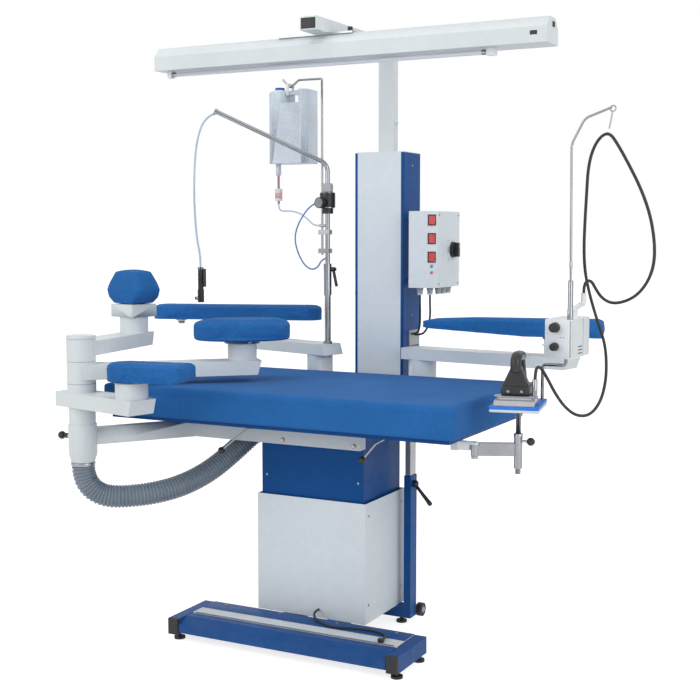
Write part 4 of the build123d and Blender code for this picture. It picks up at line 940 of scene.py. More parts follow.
# ---------------------------------------------------------------- cords
@dataclass
class Hose:
    """A hose or cable laid along its control points."""

    name: str
    points: Sequence[Point]
    radius: float
    length: float
    body: str
    slot: Slot
    finish: Finish
    nodes: tuple[str, ...] = ()
    far_end: FarEnd = FarEnd.OBJECT
    stiffness: Stiffness = Stiffness.MEDIUM
    lay: Lay = Lay.HANGING
    tool: tuple[str, ...] = ()
    ribs: float = 0.0

    def build(self) -> bpy.types.Object:
        """Returns:
            The finished piece.
        """
        path = None
        if self.ribs:
            line = nurbs(self.name + "_line", self.points, 0)
            path = self.samples(line)
            bpy.data.objects.remove(line)
            obj = self.ribbed(path)
        else:
            obj = nurbs(self.name, self.points, self.radius)
        self.finish.dress(obj)
        seat(self.body, self.slot, obj)
        if self.nodes:
            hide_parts(*self.nodes)
        return obj

    def samples(self, line: bpy.types.Object) -> list[Vector]:
        """Points along the smooth line of a bare curve."""
        bpy.context.view_layer.update()
        mesh = bpy.data.meshes.new_from_object(line)
        points = [v.co.copy() for v in mesh.vertices]
        bpy.data.meshes.remove(mesh)
        return points

    def ribbed(self, path: Sequence[Vector]) -> bpy.types.Object:
        """Corrugated tube: a turned cylinder whose rings are carried onto the line.

        Args:
            path: Points along the smooth line.

        Returns:
            The tube.
        """
        marks = [0.0]
        for a, b in zip(path, path[1:]):
            marks.append(marks[-1] + (b - a).length)
        total = marks[-1]
        turns = round(total / self.ribs)
        wave = [(0.0, 0.905), (0.2, 0.915), (0.38, 0.985), (0.6, 1.0), (0.82, 0.985)]
        rings = [((k + u) / turns * total, self.radius * f) for k in range(turns) for u, f in wave]
        rings.append((total, self.radius * 0.905))
        obj = lathe(self.name, [(r, s) for s, r in rings], (0, 0, 0), (0, 0, 1), 40)
        across = (path[1] - path[0]).normalized().orthogonal().normalized()
        frames, index = {}, 0
        for s, _ in rings:
            while index < len(marks) - 2 and marks[index + 1] < s:
                index += 1
            t = (s - marks[index]) / (marks[index + 1] - marks[index])
            here = path[index].lerp(path[index + 1], min(1.0, t))
            way = (path[index + 1] - path[index]).normalized()
            across = (across - way * across.dot(way)).normalized()
            frames[round(s * 1e6)] = (here, across.copy(), way.cross(across))
        keys = sorted(frames)
        for vertex in obj.data.vertices:
            key = min(keys, key=lambda k: abs(k - vertex.co.z * 1e6))
            here, u, v = frames[key]
            vertex.co = here + u * vertex.co.x + v * vertex.co.y
        pick(obj, "FACE", lambda c, n: True)
        bpy.ops.mesh.select_all(action="SELECT")
        bpy.ops.mesh.normals_make_consistent(inside=False)
        leave()
        return settle(obj, 60)


SUCTION_ROUTE = (
    (-0.732, -0.499, 0.63), (-0.732, -0.499, 0.578), (-0.709, -0.484, 0.53), (-0.669, -0.458, 0.503),
    (-0.616, -0.423, 0.499), (-0.551, -0.365, 0.503), (-0.494, -0.293, 0.515), (-0.45, -0.221, 0.538),
    (-0.412, -0.153, 0.572), (-0.381, -0.095, 0.613), (-0.35, -0.043, 0.656), (-0.32, -0.007, 0.694),
    (-0.274, 0.016, 0.712), (-0.222, 0.016, 0.712),
)
PEDAL_ROUTE = (
    (0.024, -0.134, 0.096), (0.024, -0.167, 0.096), (0.046, -0.209, 0.092), (0.09, -0.247, 0.09),
    (0.15, -0.269, 0.089), (0.216, -0.251, 0.09), (0.281, -0.236, 0.089), (0.334, -0.251, 0.09),
    (0.362, -0.277, 0.09), (0.362, -0.313, 0.09),
)
CABLE_A_ROUTE = (
    (0.172, 0.411, 1.205), (0.172, 0.411, 1.172), (0.166, 0.427, 1.13), (0.156, 0.449, 1.092),
    (0.14, 0.475, 1.062), (0.118, 0.495, 1.046), (0.099, 0.495, 1.046),
)
CABLE_B_ROUTE = (
    (0.204, 0.433, 1.205), (0.204, 0.433, 1.175), (0.199, 0.449, 1.135), (0.184, 0.476, 1.098),
    (0.158, 0.507, 1.062), (0.128, 0.527, 1.04), (0.099, 0.527, 1.04),
)
STEAM_ROUTE = (
    (0.947, -0.034, 1.247), (0.947, -0.034, 1.27), (0.957, -0.035, 1.288), (0.973, -0.037, 1.286),
    (0.986, -0.039, 1.264), (1.008, -0.043, 1.233), (1.046, -0.054, 1.216), (1.095, -0.071, 1.226),
    (1.136, -0.083, 1.25), (1.168, -0.085, 1.294), (1.184, -0.084, 1.35), (1.182, -0.084, 1.42),
    (1.166, -0.084, 1.5), (1.136, -0.084, 1.578), (1.098, -0.083, 1.65), (1.062, -0.08, 1.712),
    (1.033, -0.075, 1.752), (1.004, -0.069, 1.744), (0.975, -0.057, 1.706), (0.956, -0.041, 1.648),
    (0.948, -0.025, 1.57), (0.94, -0.011, 1.48), (0.932, 0.009, 1.396), (0.926, 0.043, 1.32),
    (0.93, 0.077, 1.254), (0.944, 0.099, 1.184), (0.966, 0.095, 1.126), (0.991, 0.069, 1.076),
    (1.01, 0.025, 1.022), (1.024, -0.031, 0.962), (1.02, -0.073, 0.902), (0.997, -0.111, 0.862),
    (0.962, -0.143, 0.862), (0.93, -0.165, 0.892), (0.906, -0.181, 0.932), (0.89, -0.199, 0.972),
    (0.878, -0.219, 1.006), (0.869, -0.24, 1.026), (0.861, -0.254, 1.016), (0.861, -0.254, 0.964),
)
SPRAY_ROUTE = (
    (-0.636, 0.215, 1.91), (-0.66, 0.214, 1.902), (-0.688, 0.211, 1.874), (-0.706, 0.208, 1.829),
    (-0.718, 0.205, 1.765), (-0.723, 0.202, 1.682), (-0.724, 0.2, 1.59), (-0.719, 0.198, 1.496),
    (-0.71, 0.197, 1.412), (-0.694, 0.196, 1.35), (-0.694, 0.196, 1.305),
)
FEED_ROUTE = (
    (-0.499, 0.483, 1.562), (-0.499, 0.483, 1.546), (-0.489, 0.481, 1.534), (-0.471, 0.476, 1.531),
    (-0.446, 0.468, 1.532), (-0.408, 0.451, 1.529), (-0.362, 0.431, 1.518), (-0.319, 0.412, 1.494),
    (-0.289, 0.403, 1.471), (-0.263, 0.403, 1.471),
)
AIR_ROUTE = (
    (-0.268, 0.392, 1.562), (-0.294, 0.385, 1.55), (-0.325, 0.379, 1.513), (-0.354, 0.378, 1.464),
    (-0.364, 0.378, 1.415), (-0.349, 0.379, 1.36), (-0.322, 0.382, 1.314), (-0.292, 0.389, 1.294),
    (-0.268, 0.399, 1.306), (-0.256, 0.403, 1.334), (-0.238, 0.403, 1.34),
)


@dataclass
class Hoses(Assembly):
    """Every free hose and cable."""

    title: str = "hoses and cables"

    def build(self) -> None:
        """Lay each one."""
        for hose in (
            Hose("ribbed_suction_hose", SUCTION_ROUTE, 0.0415, 0.890, "table", Slot.GREY_HOSE, HOSE_GREY,
                 ("suction_hose",), stiffness=Stiffness.STIFF, ribs=0.0118),
            Hose("pedal_lead", PEDAL_ROUTE, 0.004, 0.461, "base", Slot.RUBBER, HOSE_BLACK, ("pedal_cable",),
                 lay=Lay.LOOSE),
            Hose("control_lead_a", CABLE_A_ROUTE, 0.004, 0.217, "table", Slot.RUBBER, HOSE_BLACK,
                 ("control_cables",)),
            Hose("control_lead_b", CABLE_B_ROUTE, 0.004, 0.245, "table", Slot.RUBBER, HOSE_BLACK),
            Hose("steam_line", STEAM_ROUTE, 0.005, 2.183, "rest", Slot.RUBBER, HOSE_BLACK, ("steam_hose",)),
            Hose("spray_line", SPRAY_ROUTE, 0.004, 0.640, "boom", Slot.CLEAR_HOSE, HOSE_CLEAR, ("spray_hose",),
                 far_end=FarEnd.TOOL, tool=("spray_gun",)),
            Hose("feed_tube", FEED_ROUTE, 0.003, 0.285, "boom", Slot.CLEAR_HOSE, HOSE_CLEAR, ("feed_line",)),
            Hose("air_line", AIR_ROUTE, 0.003, 0.403, "boom", Slot.CLEAR_HOSE, HOSE_BLUE),
        ):
            hose.build()
            LOG.info("laid %s", hose.name)


# ---------------------------------------------------------------- cushions
@dataclass
class Cushion:
    """A padded form: cover over foam, drawn from its CAD solid and puffed up."""

    node: str
    voxel: float = 0.005
    drawn_in: float = 0.003
    cap: float = 0.008
    pressure: float = 4.0
    fill: float = 0.85
    seams: tuple[float, ...] = (0.75,)
    base_finish: Finish = CREAM_PAINT
    base_slot: Slot = Slot.CREAM_PAINT
    smooth: int = 4

    def build(self) -> None:
        """Make the cushion, its seams and the plate under it."""
        body = "table" if self.node == "table_pad" else self.node
        cushion, *rest = parts_of(self.node)
        low = min(v.co.z for v in cushion.data.vertices)
        high = max(v.co.z for v in cushion.data.vertices)
        cushion.name = self.node + "_cushion"
        apply(cushion, "REMESH", mode="VOXEL", voxel_size=self.voxel)
        apply(cushion, "DISPLACE", strength=-self.drawn_in, mid_level=0.0)
        apply(cushion, "SMOOTH", factor=0.5, iterations=self.smooth)
        self.puff(cushion, low)
        apply(cushion, "SUBSURF", levels=1, render_levels=1)
        settle(cushion, 60)
        seams = [self.seam(cushion, number, low + (high - low) * share) for number, share in enumerate(self.seams)]
        BLUE_CLOTH.dress(cushion)
        THREAD.dress(*seams)
        seat(body, Slot.CLOTH, cushion, *seams)
        for number, part in enumerate(rest):
            part.name = f"{self.node}_base_{number + 1}"
        self.base_finish.dress(*rest)
        seat(body, self.base_slot, *rest)
        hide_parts(self.node)

    def puff(self, cushion: bpy.types.Object, low: float) -> None:
        """Blow the cover up a little from inside and keep its underside where it rests.

        Args:
            cushion: The cover.
            low: Height of its underside.
        """
        rest = [v.co.copy() for v in cushion.data.vertices]
        normals = [v.normal.copy() for v in cushion.data.vertices]
        activate(cushion)
        modifier = cushion.modifiers.new("cloth", "CLOTH")
        cloth = modifier.settings
        cloth.use_pressure = True
        cloth.uniform_pressure_force = self.pressure
        cloth.tension_stiffness = cloth.compression_stiffness = 12
        cloth.effector_weights.gravity = 0
        modifier.point_cache.frame_start, modifier.point_cache.frame_end = 1, 20
        scene = bpy.context.scene
        for number in range(1, 21):
            scene.frame_set(number)
        shaped = cushion.evaluated_get(bpy.context.evaluated_depsgraph_get())
        moved = [v.co.copy() for v in shaped.data.vertices]
        cushion.modifiers.remove(modifier)
        scene.frame_set(1)
        for vertex, start, end, normal in zip(cushion.data.vertices, rest, moved, normals):
            step = end - start
            if step.length > self.cap:
                step *= self.cap / step.length
            if normal.z < -0.5 or start.z < low + 0.004:
                step *= 0.0
            vertex.co = start + step

    def seam(self, cushion: bpy.types.Object, number: int, z: float) -> bpy.types.Object:
        """Sewn seam round the cushion at a height.

        Args:
            cushion: The finished cover.
            number: Which seam it is.
            z: Its height.

        Returns:
            The seam.
        """
        bpy.ops.object.select_all(action="DESELECT")
        line = cushion.copy()
        line.data = cushion.data.copy()
        bpy.context.scene.collection.objects.link(line)
        line.name = f"{self.node}_seam_{number + 1}"
        pick(line, "FACE", lambda c, n: True)
        bpy.ops.mesh.select_all(action="SELECT")
        bpy.ops.mesh.bisect(plane_co=(0, 0, z), plane_no=(0, 0, 1), clear_inner=True, clear_outer=True)
        leave()
        activate(line)
        bpy.ops.object.convert(target="CURVE")
        line = bpy.context.object
        line.data.bevel_depth = 0.0011
        line.data.bevel_resolution = 1
        bpy.ops.object.convert(target="MESH")
        return settle(bpy.context.object, 60)


@dataclass
class Cushions(Assembly):
    """The table's padding and the five forms."""

    title: str = "cushions"

    def build(self) -> None:
        """Make each cushion."""
        for cushion in (
            Cushion("table_pad", voxel=0.011, drawn_in=0.0015, cap=0.003, fill=0.9, seams=(0.8,), smooth=2),
            Cushion("pad_1", seams=(0.42,)),
            Cushion("pad_2", seams=(0.72,), base_finish=STEEL, base_slot=Slot.BRIGHT_STEEL),
            Cushion("pad_3", seams=(0.74,), base_finish=STEEL, base_slot=Slot.BRIGHT_STEEL),
            Cushion("pad_4", seams=(0.8,), base_finish=STEEL, base_slot=Slot.BRIGHT_STEEL),
            Cushion("pad_5", seams=(0.8,), base_finish=STEEL, base_slot=Slot.BRIGHT_STEEL),
        ):
            cushion.build()
            LOG.info("padded %s", cushion.node)


# ---------------------------------------------------------------- pedestal
@dataclass
class Pedestal(Assembly):
    """Foot frame, pedal, covers, lift and wheels."""

    title: str = "pedestal"
    cover_half: float = 220
    screw_radius: float = 0.0045

    def build(self) -> None:
        """Dress the sheet metal and add what is fixed to it."""
        dress_nodes(FLOOR_BLUE, "foot_frame", "pedal_bar")
        dress_nodes(BLUE_PAINT, "upper_housing")
        dress_nodes(LOW_WHITE, "lower_cover")
        dress_nodes(RUBBER, "rubber_feet")
        dress_nodes(STEEL, "guide_rails", "lift_motor")
        self.strip()
        self.wheels()
        self.lever()
        self.screws()

    def strip(self) -> None:
        """Pale strip behind the pedal, its screws and the lead's inlet block."""
        strip, block, *screws = parts_of("pedal_cover")
        strip.name, block.name = "pedal_strip", "pedal_inlet"
        STRIP_CREAM.dress(strip)
        BLACK_PLASTIC.dress(block)
        STEEL.dress(*screws)
        seat("base", Slot.CREAM_PAINT, strip)
        seat("base", Slot.BLACK_PLASTIC, block)
        seat("base", Slot.BRIGHT_STEEL, *screws)
        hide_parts("pedal_cover")
        lip = box("pedal_strip_lip", at(-360, -306.6, 83.8), at(426, -303.6, 87), 0.0008)
        rail = box("pedal_rail", at(-371, -244, 83.7), at(437, -163.5, 84.8), 0.0004)
        STEEL.dress(lip)
        FLOOR_BLUE.dress(rail)
        seat("base", Slot.BRIGHT_STEEL, lip)
        seat("base", Slot.BLUE_PAINT, rail)

    def wheels(self) -> None:
        """Wheels with hub caps on their axle."""
        parts = parts_of("wheel_set")
        axle = max(parts, key=lambda o: o.dimensions.x)
        wheels = [p for p in parts if p is not axle]
        RUBBER.dress(*wheels)
        STEEL.dress(axle)
        centre = at(0, 228, 40)
        repaint(axle, RUBBER, lambda c: math.hypot(c.y - centre.y, c.z - centre.z) > 0.0075)
        caps = []
        for side in (-1, 1):
            for face, way in ((side * 296, side), (side * 276, -side)):
                profile = [(0.011, 0.0), (0.011, 0.0012), (0.009, 0.002), (0.007, 0.0042), (0.003, 0.005)]
                if abs(face) > 290:
                    caps.append(lathe("wheel_cap", profile, at(face, 228, 40), (way, 0, 0), 28))
        hubs = join("wheel_caps", caps)
        GREY_PLASTIC.dress(hubs)
        seat("wheels", Slot.RUBBER, *wheels)
        seat("wheels", Slot.BRIGHT_STEEL, axle, hubs)
        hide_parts("wheel_set")

    def lever(self) -> None:
        """Clamp lever of the right guide with its button and curved handle."""
        boss = lathe(
            "guide_lever_boss", [(0.013, 0), (0.0135, 0.003), (0.0125, 0.012), (0.0095, 0.0155), (0.006, 0.017)],
            at(279.4, 175, 526), (1, 0, 0), 32,
        )
        handle = lathe(
            "guide_lever_handle",
            [(0.0055, 0), (0.0065, 0.004), (0.006, 0.03), (0.0075, 0.07), (0.0088, 0.082), (0.0085, 0.089),
             (0.006, 0.093), (0.002, 0.0945)],
            at(287, 174, 521), at(345, 169, 460) - at(287, 174, 521), 28,
        )
        button = lathe("guide_lever_button", [(0.004, 0), (0.004, 0.002), (0.0025, 0.003)], at(296, 175, 526), (1, 0, 0), 20)
        BLACK_PLASTIC.dress(boss, handle)
        STEEL.dress(button)
        seat("clamp_lever", Slot.BLACK_PLASTIC, boss, handle)
        seat("clamp_lever", Slot.BRIGHT_STEEL, button)
        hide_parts("clamp_lever")

    def screws(self) -> None:
        """Screws of the two covers."""
        h = self.cover_half
        first = screw("cover_screw", at(h, 196, 130), (1, 0, 0), self.screw_radius)
        right = copies(first, [(0, 0, 0.32), (0, -0.275, 0), (0, -0.275, 0.32)])
        second = screw("cover_screw_left", at(-h, 196, 130), (-1, 0, 0), self.screw_radius)
        left = copies(second, [(0, 0, 0.32), (0, -0.275, 0), (0, -0.275, 0.32)])
        low = join("cover_screws", [first, *right, second, *left])
        third = screw("housing_screw", at(-186, -92, 566), (0, -1, 0), self.screw_radius)
        high = join("housing_screws", [third, *copies(third, [(0.372, 0, 0), (0, 0, 0.18), (0.372, 0, 0.18)])])
        STEEL.dress(low, high)
        seat("base", Slot.BRIGHT_STEEL, low)
        seat("table", Slot.BRIGHT_STEEL, high)


# ---------------------------------------------------------------- table and arms
@dataclass
class Carriage(Assembly):
    """Tray, damper levers, beam and the swinging arms."""

    title: str = "table and arms"
    ball: float = 0.0133

    def build(self) -> None:
        """Dress the tray, the beam and the arms, and add knobs and bolts."""
        dress_nodes(BLUE_PAINT, "table_tray")
        dress_nodes(STEEL, "suction_fan")
        dress_nodes(CAST, "impeller")
        dress_nodes(CREAM_PAINT, "arm_1", "arm_2", "arm_3", "arm_4", "arm_5", "arm_column")
        dress_nodes(CHROME, "lever_left", "lever_right")
        self.beam()
        self.sleeve()
        self.damper_balls()
        self.arm_caps()

    def beam(self) -> None:
        """Beam and brackets with hexagon bolts in place of the plain ones."""
        parts = parts_of("arm_beam")
        plain = [p for p in parts if p.dimensions.z < 0.02]
        beams = [p for p in parts if p.dimensions.z >= 0.02]
        for piece in plain:
            bpy.data.objects.remove(piece)
        for number, piece in enumerate(beams):
            piece.name = f"beam_{number + 1}"
        CREAM_PAINT.dress(*beams)
        seat("table", Slot.CREAM_PAINT, *beams)
        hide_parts("arm_beam")
        first = bolt("beam_bolts", at(-95, -135, 705), (0, -1, 0), 0.0075)
        bolts = join("beam_bolts", [first, *copies(first, [(0.285, 0, 0)])])
        STEEL.dress(bolts)
        seat("table", Slot.BRIGHT_STEEL, bolts)

    def sleeve(self) -> None:
        """Sleeve of the arm column, its clamp knob, rim rings and the band on the hose."""
        sleeve, clamp = parts_of("arm_sleeve")
        sleeve.name, clamp.name = "column_sleeve", "column_clamp_screw"
        ball = knob("column_clamp_knob", at(-816.5, -470, 718), (-1, 0, 0), 0.0145)
        grip = lathe(
            "column_clamp_collar", [(0.008, 0), (0.0095, 0.002), (0.0085, 0.012), (0.0075, 0.014)],
            at(-790, -470, 718), (-1, 0, 0), 24,
        )
        band = lathe("hose_band", [(0.0428, 0), (0.0432, 0.001), (0.0432, 0.011), (0.0428, 0.012)],
                     at(-722, -470, 617), (0, 0, 1), 48)
        CREAM_PAINT.dress(sleeve)
        STEEL.dress(clamp, band)
        BLACK_PLASTIC.dress(ball, grip)
        seat("table", Slot.CREAM_PAINT, sleeve)
        seat("table", Slot.BRIGHT_STEEL, clamp, band)
        seat("table", Slot.BLACK_PLASTIC, ball, grip)
        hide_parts("arm_sleeve")

    def damper_balls(self) -> None:
        """Black balls at the ends of the damper levers."""
        left = knob("damper_ball_left", at(-309, -205, 661), at(-309, -205, 661) - at(-186, -205, 760), self.ball)
        right = knob("damper_ball_right", at(259, -205, 676), at(259, -205, 676) - at(308, -205, 733), self.ball)
        BLACK_PLASTIC.dress(left, right)
        seat("lever_left", Slot.BLACK_PLASTIC, left)
        seat("lever_right", Slot.BLACK_PLASTIC, right)

    def arm_caps(self) -> None:
        """Moulded cap on the arm column."""
        cap = lathe(
            "arm_column_cap", [(0.0515, 0), (0.0524, 0.001), (0.0524, 0.0098), (0.0505, 0.0116), (0.040, 0.0128),
                               (0.010, 0.0134)],
            at(-722, -470, 1070), (0, 0, 1), 64,
        )
        CREAM_PAINT.dress(cap)
        seat("arm_column", Slot.CREAM_PAINT, cap)


# ---------------------------------------------------------------- column and control box
@dataclass
class ControlColumn(Assembly):
    """Column, its covers, the control box and the lamp."""

    title: str = "column"
    face_x: float = 241
    face_y: float = 413

    def build(self) -> None:
        """Dress the column, box and lamp and add their fittings."""
        dress_nodes(BLUE_PAINT, "column_covers")
        dress_nodes(WHITE_PAINT, "control_box")
        dress_nodes(RED_PLASTIC, "rocker_top", "rocker_middle", "rocker_low")
        dress_nodes(BLACK_PLASTIC, "main_switch", "lamp_switch")
        self.column()
        self.lips()
        self.box_face()
        self.glands()
        self.lamp()

    def column(self) -> None:
        """Column body, cable plate and knob, with screws on the covers."""
        parts = parts_of("column")
        body, others = parts[0], parts[1:]
        plate = max(others, key=lambda o: o.dimensions.z)
        knob_ = min(others, key=lambda o: o.dimensions.z)
        body.name, plate.name, knob_.name = "column_body", "column_cable_plate", "column_knob"
        WHITE_PAINT.dress(body)
        GREY_PLASTIC.dress(plate)
        BLACK_PLASTIC.dress(knob_)
        seat("table", Slot.WHITE_PAINT, body)
        seat("table", Slot.BLACK_PLASTIC, plate, knob_)
        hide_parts("column")
        right = [screw("column_screw", at(105, 532, z), (1, 0, 0)) for z in (1703, 1119, 760)]
        left = [screw("column_screw", at(-105, 532, z), (-1, 0, 0)) for z in (1703, 1119, 760)]
        screws = join("column_screws", [*right, *left])
        STEEL.dress(screws)
        seat("table", Slot.BRIGHT_STEEL, screws)

    def on_face(self, obj: bpy.types.Object, z: float) -> bpy.types.Object:
        """Carry a piece drawn about the origin, facing +Z, to the box's slanted face.

        Args:
            obj: The piece.
            z: Height on the face in millimetres.

        Returns:
            The piece in place.
        """
        s = math.sqrt(0.5)
        turn = Matrix(((s, 0, s), (s, 0, -s), (0, 1, 0))).to_4x4()
        obj.data.transform(Matrix.Translation(at(self.face_x, self.face_y, z)) @ turn)
        return obj

    def bezel(self, z: float) -> bpy.types.Object:
        """Frame round a rocker switch.

        Args:
            z: Height of the rocker in millimetres.

        Returns:
            The frame.
        """
        frame_ = box("rocker_bezel", (-0.0165, -0.021, -0.0005), (0.0165, 0.021, 0.0022), 0.0008)
        pick(frame_, "FACE", lambda c, n: abs(n.z) > 0.99)
        bpy.ops.mesh.inset(thickness=0.0026)
        bpy.ops.mesh.bridge_edge_loops()
        leave()
        return self.on_face(frame_, z)

    def lips(self) -> None:
        """Folded lips of the covers along the column's front edges."""
        strips = join("cover_lips", [
            box("cover_lip", at(low, 453.4, 664), at(high, 456.5, 1752), 0.0008)
            for low, high in ((-105, -95), (93, 105))
        ])
        BLUE_PAINT.dress(strips)
        seat("table", Slot.BLUE_PAINT, strips)

    def box_face(self) -> None:
        """Rocker frames, indicator lights, switch plate and screws."""
        bezels = join("rocker_bezels", [self.bezel(z) for z in (1490, 1420, 1350)])
        BLACK_PLASTIC.dress(bezels)
        seat("table", Slot.BLACK_PLASTIC, bezels)
        for name, z, finish in (("indicator_upper", 1316, BLUE_LAMP_AND_PAINTED_GLOW), ("indicator_lower", 1292, RED_LAMP_AND_PAINTED_GLOW)):
            lens = lathe(name, [(0.0045, 0.0015), (0.0042, 0.0032), (0.0025, 0.0044)], (0, 0, 0), (0, 0, 1), 24)
            ring = lathe(name + "_ring", [(0.0065, -0.0005), (0.0065, 0.001), (0.0052, 0.0018)], (0, 0, 0), (0, 0, 1), 24)
            finish.dress(self.on_face(lens, z))
            CHROME.dress(self.on_face(ring, z))
            seat("table", Slot.RED, lens)
            seat("table", Slot.CHROME, ring)
        plate = lathe("main_switch_plate", [(0.0335, 0), (0.0335, 0.0015), (0.0322, 0.003)], at(264.3, 556, 1377),
                      (1, 0, 0), 48)
        skirt = lathe("main_switch_skirt", [(0.0305, 0), (0.0305, 0.003), (0.0296, 0.005)], at(267.6, 556, 1377), (1, 0, 0), 48)
        mark = box("main_switch_mark", at(295.4, 554.8, 1383), at(295.9, 557.2, 1403), 0.0002, 1)
        lid = [screw("box_screw", at(259, y, z), (1, 0, 0), 0.004) for y in (442, 633) for z in (1247, 1510)]
        screws = join("box_screws", lid)
        BLACK_PLASTIC.dress(skirt)
        GREY_PLASTIC.dress(plate)
        PALE_PLASTIC.dress(mark)
        STEEL.dress(screws)
        seat("table", Slot.BLACK_PLASTIC, plate)
        seat("main_switch", Slot.BLACK_PLASTIC, skirt, mark)
        seat("table", Slot.BRIGHT_STEEL, screws)

    def glands(self) -> None:
        """Cable glands under the box."""
        nut = lathe("cable_glands", [(0.0125, 0), (0.0132, 0.001), (0.0132, 0.009), (0.0125, 0.010)],
                    at(182, 440, 1222), (0, 0, 1), 6)
        dome = lathe("gland_dome", [(0.0075, 0), (0.0098, 0.003), (0.0108, 0.007), (0.0108, 0.016)],
                     at(182, 440, 1205.4), (0, 0, 1), 28)
        first = join("cable_glands", [nut, dome])
        steps = [at(x, y, 0) - at(182, 440, 0) for x, y in ((214, 462), (225, 515), (225, 565), (225, 615))]
        glands = join("cable_glands", [first, *copies(first, steps)])
        GREY_PLASTIC.dress(glands)
        seat("table", Slot.BLACK_PLASTIC, glands)

    def lamp(self) -> None:
        """Lamp body with end caps, tube and hanger."""
        dress_nodes(CREAM_PAINT, "lamp_post")
        plug = box("bracket_plug", at(-28.5, -110.2, 2141.5), at(28.5, -107.5, 2178.5), 0.001)
        BLACK_PLASTIC.dress(plug)
        seat("lamp", Slot.BLACK_PLASTIC, plug)
        parts = parts_of("lamp_housing")
        body = max(parts, key=lambda o: o.dimensions.x)
        hanger = max((p for p in parts if p is not body), key=lambda o: o.dimensions.x)
        small = [p for p in parts if p not in (body, hanger)]
        body.name, hanger.name = "lamp_body", "lamp_hanger"
        for number, piece in enumerate(small):
            piece.name = f"lamp_fitting_{number + 1}"
        CREAM_PAINT.dress(body)
        STEEL.dress(hanger)
        BLACK_PLASTIC.dress(*small)
        seat("lamp", Slot.CREAM_PAINT, body)
        seat("lamp", Slot.BRIGHT_STEEL, hanger)
        seat("lamp", Slot.BLACK_PLASTIC, *small)
        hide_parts("lamp_housing")
        tube, *sockets = parts_of("lamp_tube")
        tube.name = "lamp_glass"
        for number, piece in enumerate(sockets):
            piece.name = f"lamp_socket_{number + 1}"
        TUBE_GLOW.dress(tube)
        PALE_PLASTIC.dress(*sockets)
        caps = []
        for x, way in ((-645.2, 1), (615.2, -1)):
            caps.append(lathe("tube_cap", [(0.0084, 0), (0.0086, 0.002), (0.0086, 0.016), (0.0083, 0.018)],
                              at(x, 0, 2034), (way, 0, 0), 32))
        ferrules = join("tube_caps", caps)
        CHROME.dress(ferrules)
        seat("lamp", Slot.TUBE, tube)
        seat("lamp", Slot.WHITE_PAINT, *sockets)
        seat("lamp", Slot.CHROME, ferrules)
        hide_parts("lamp_tube")


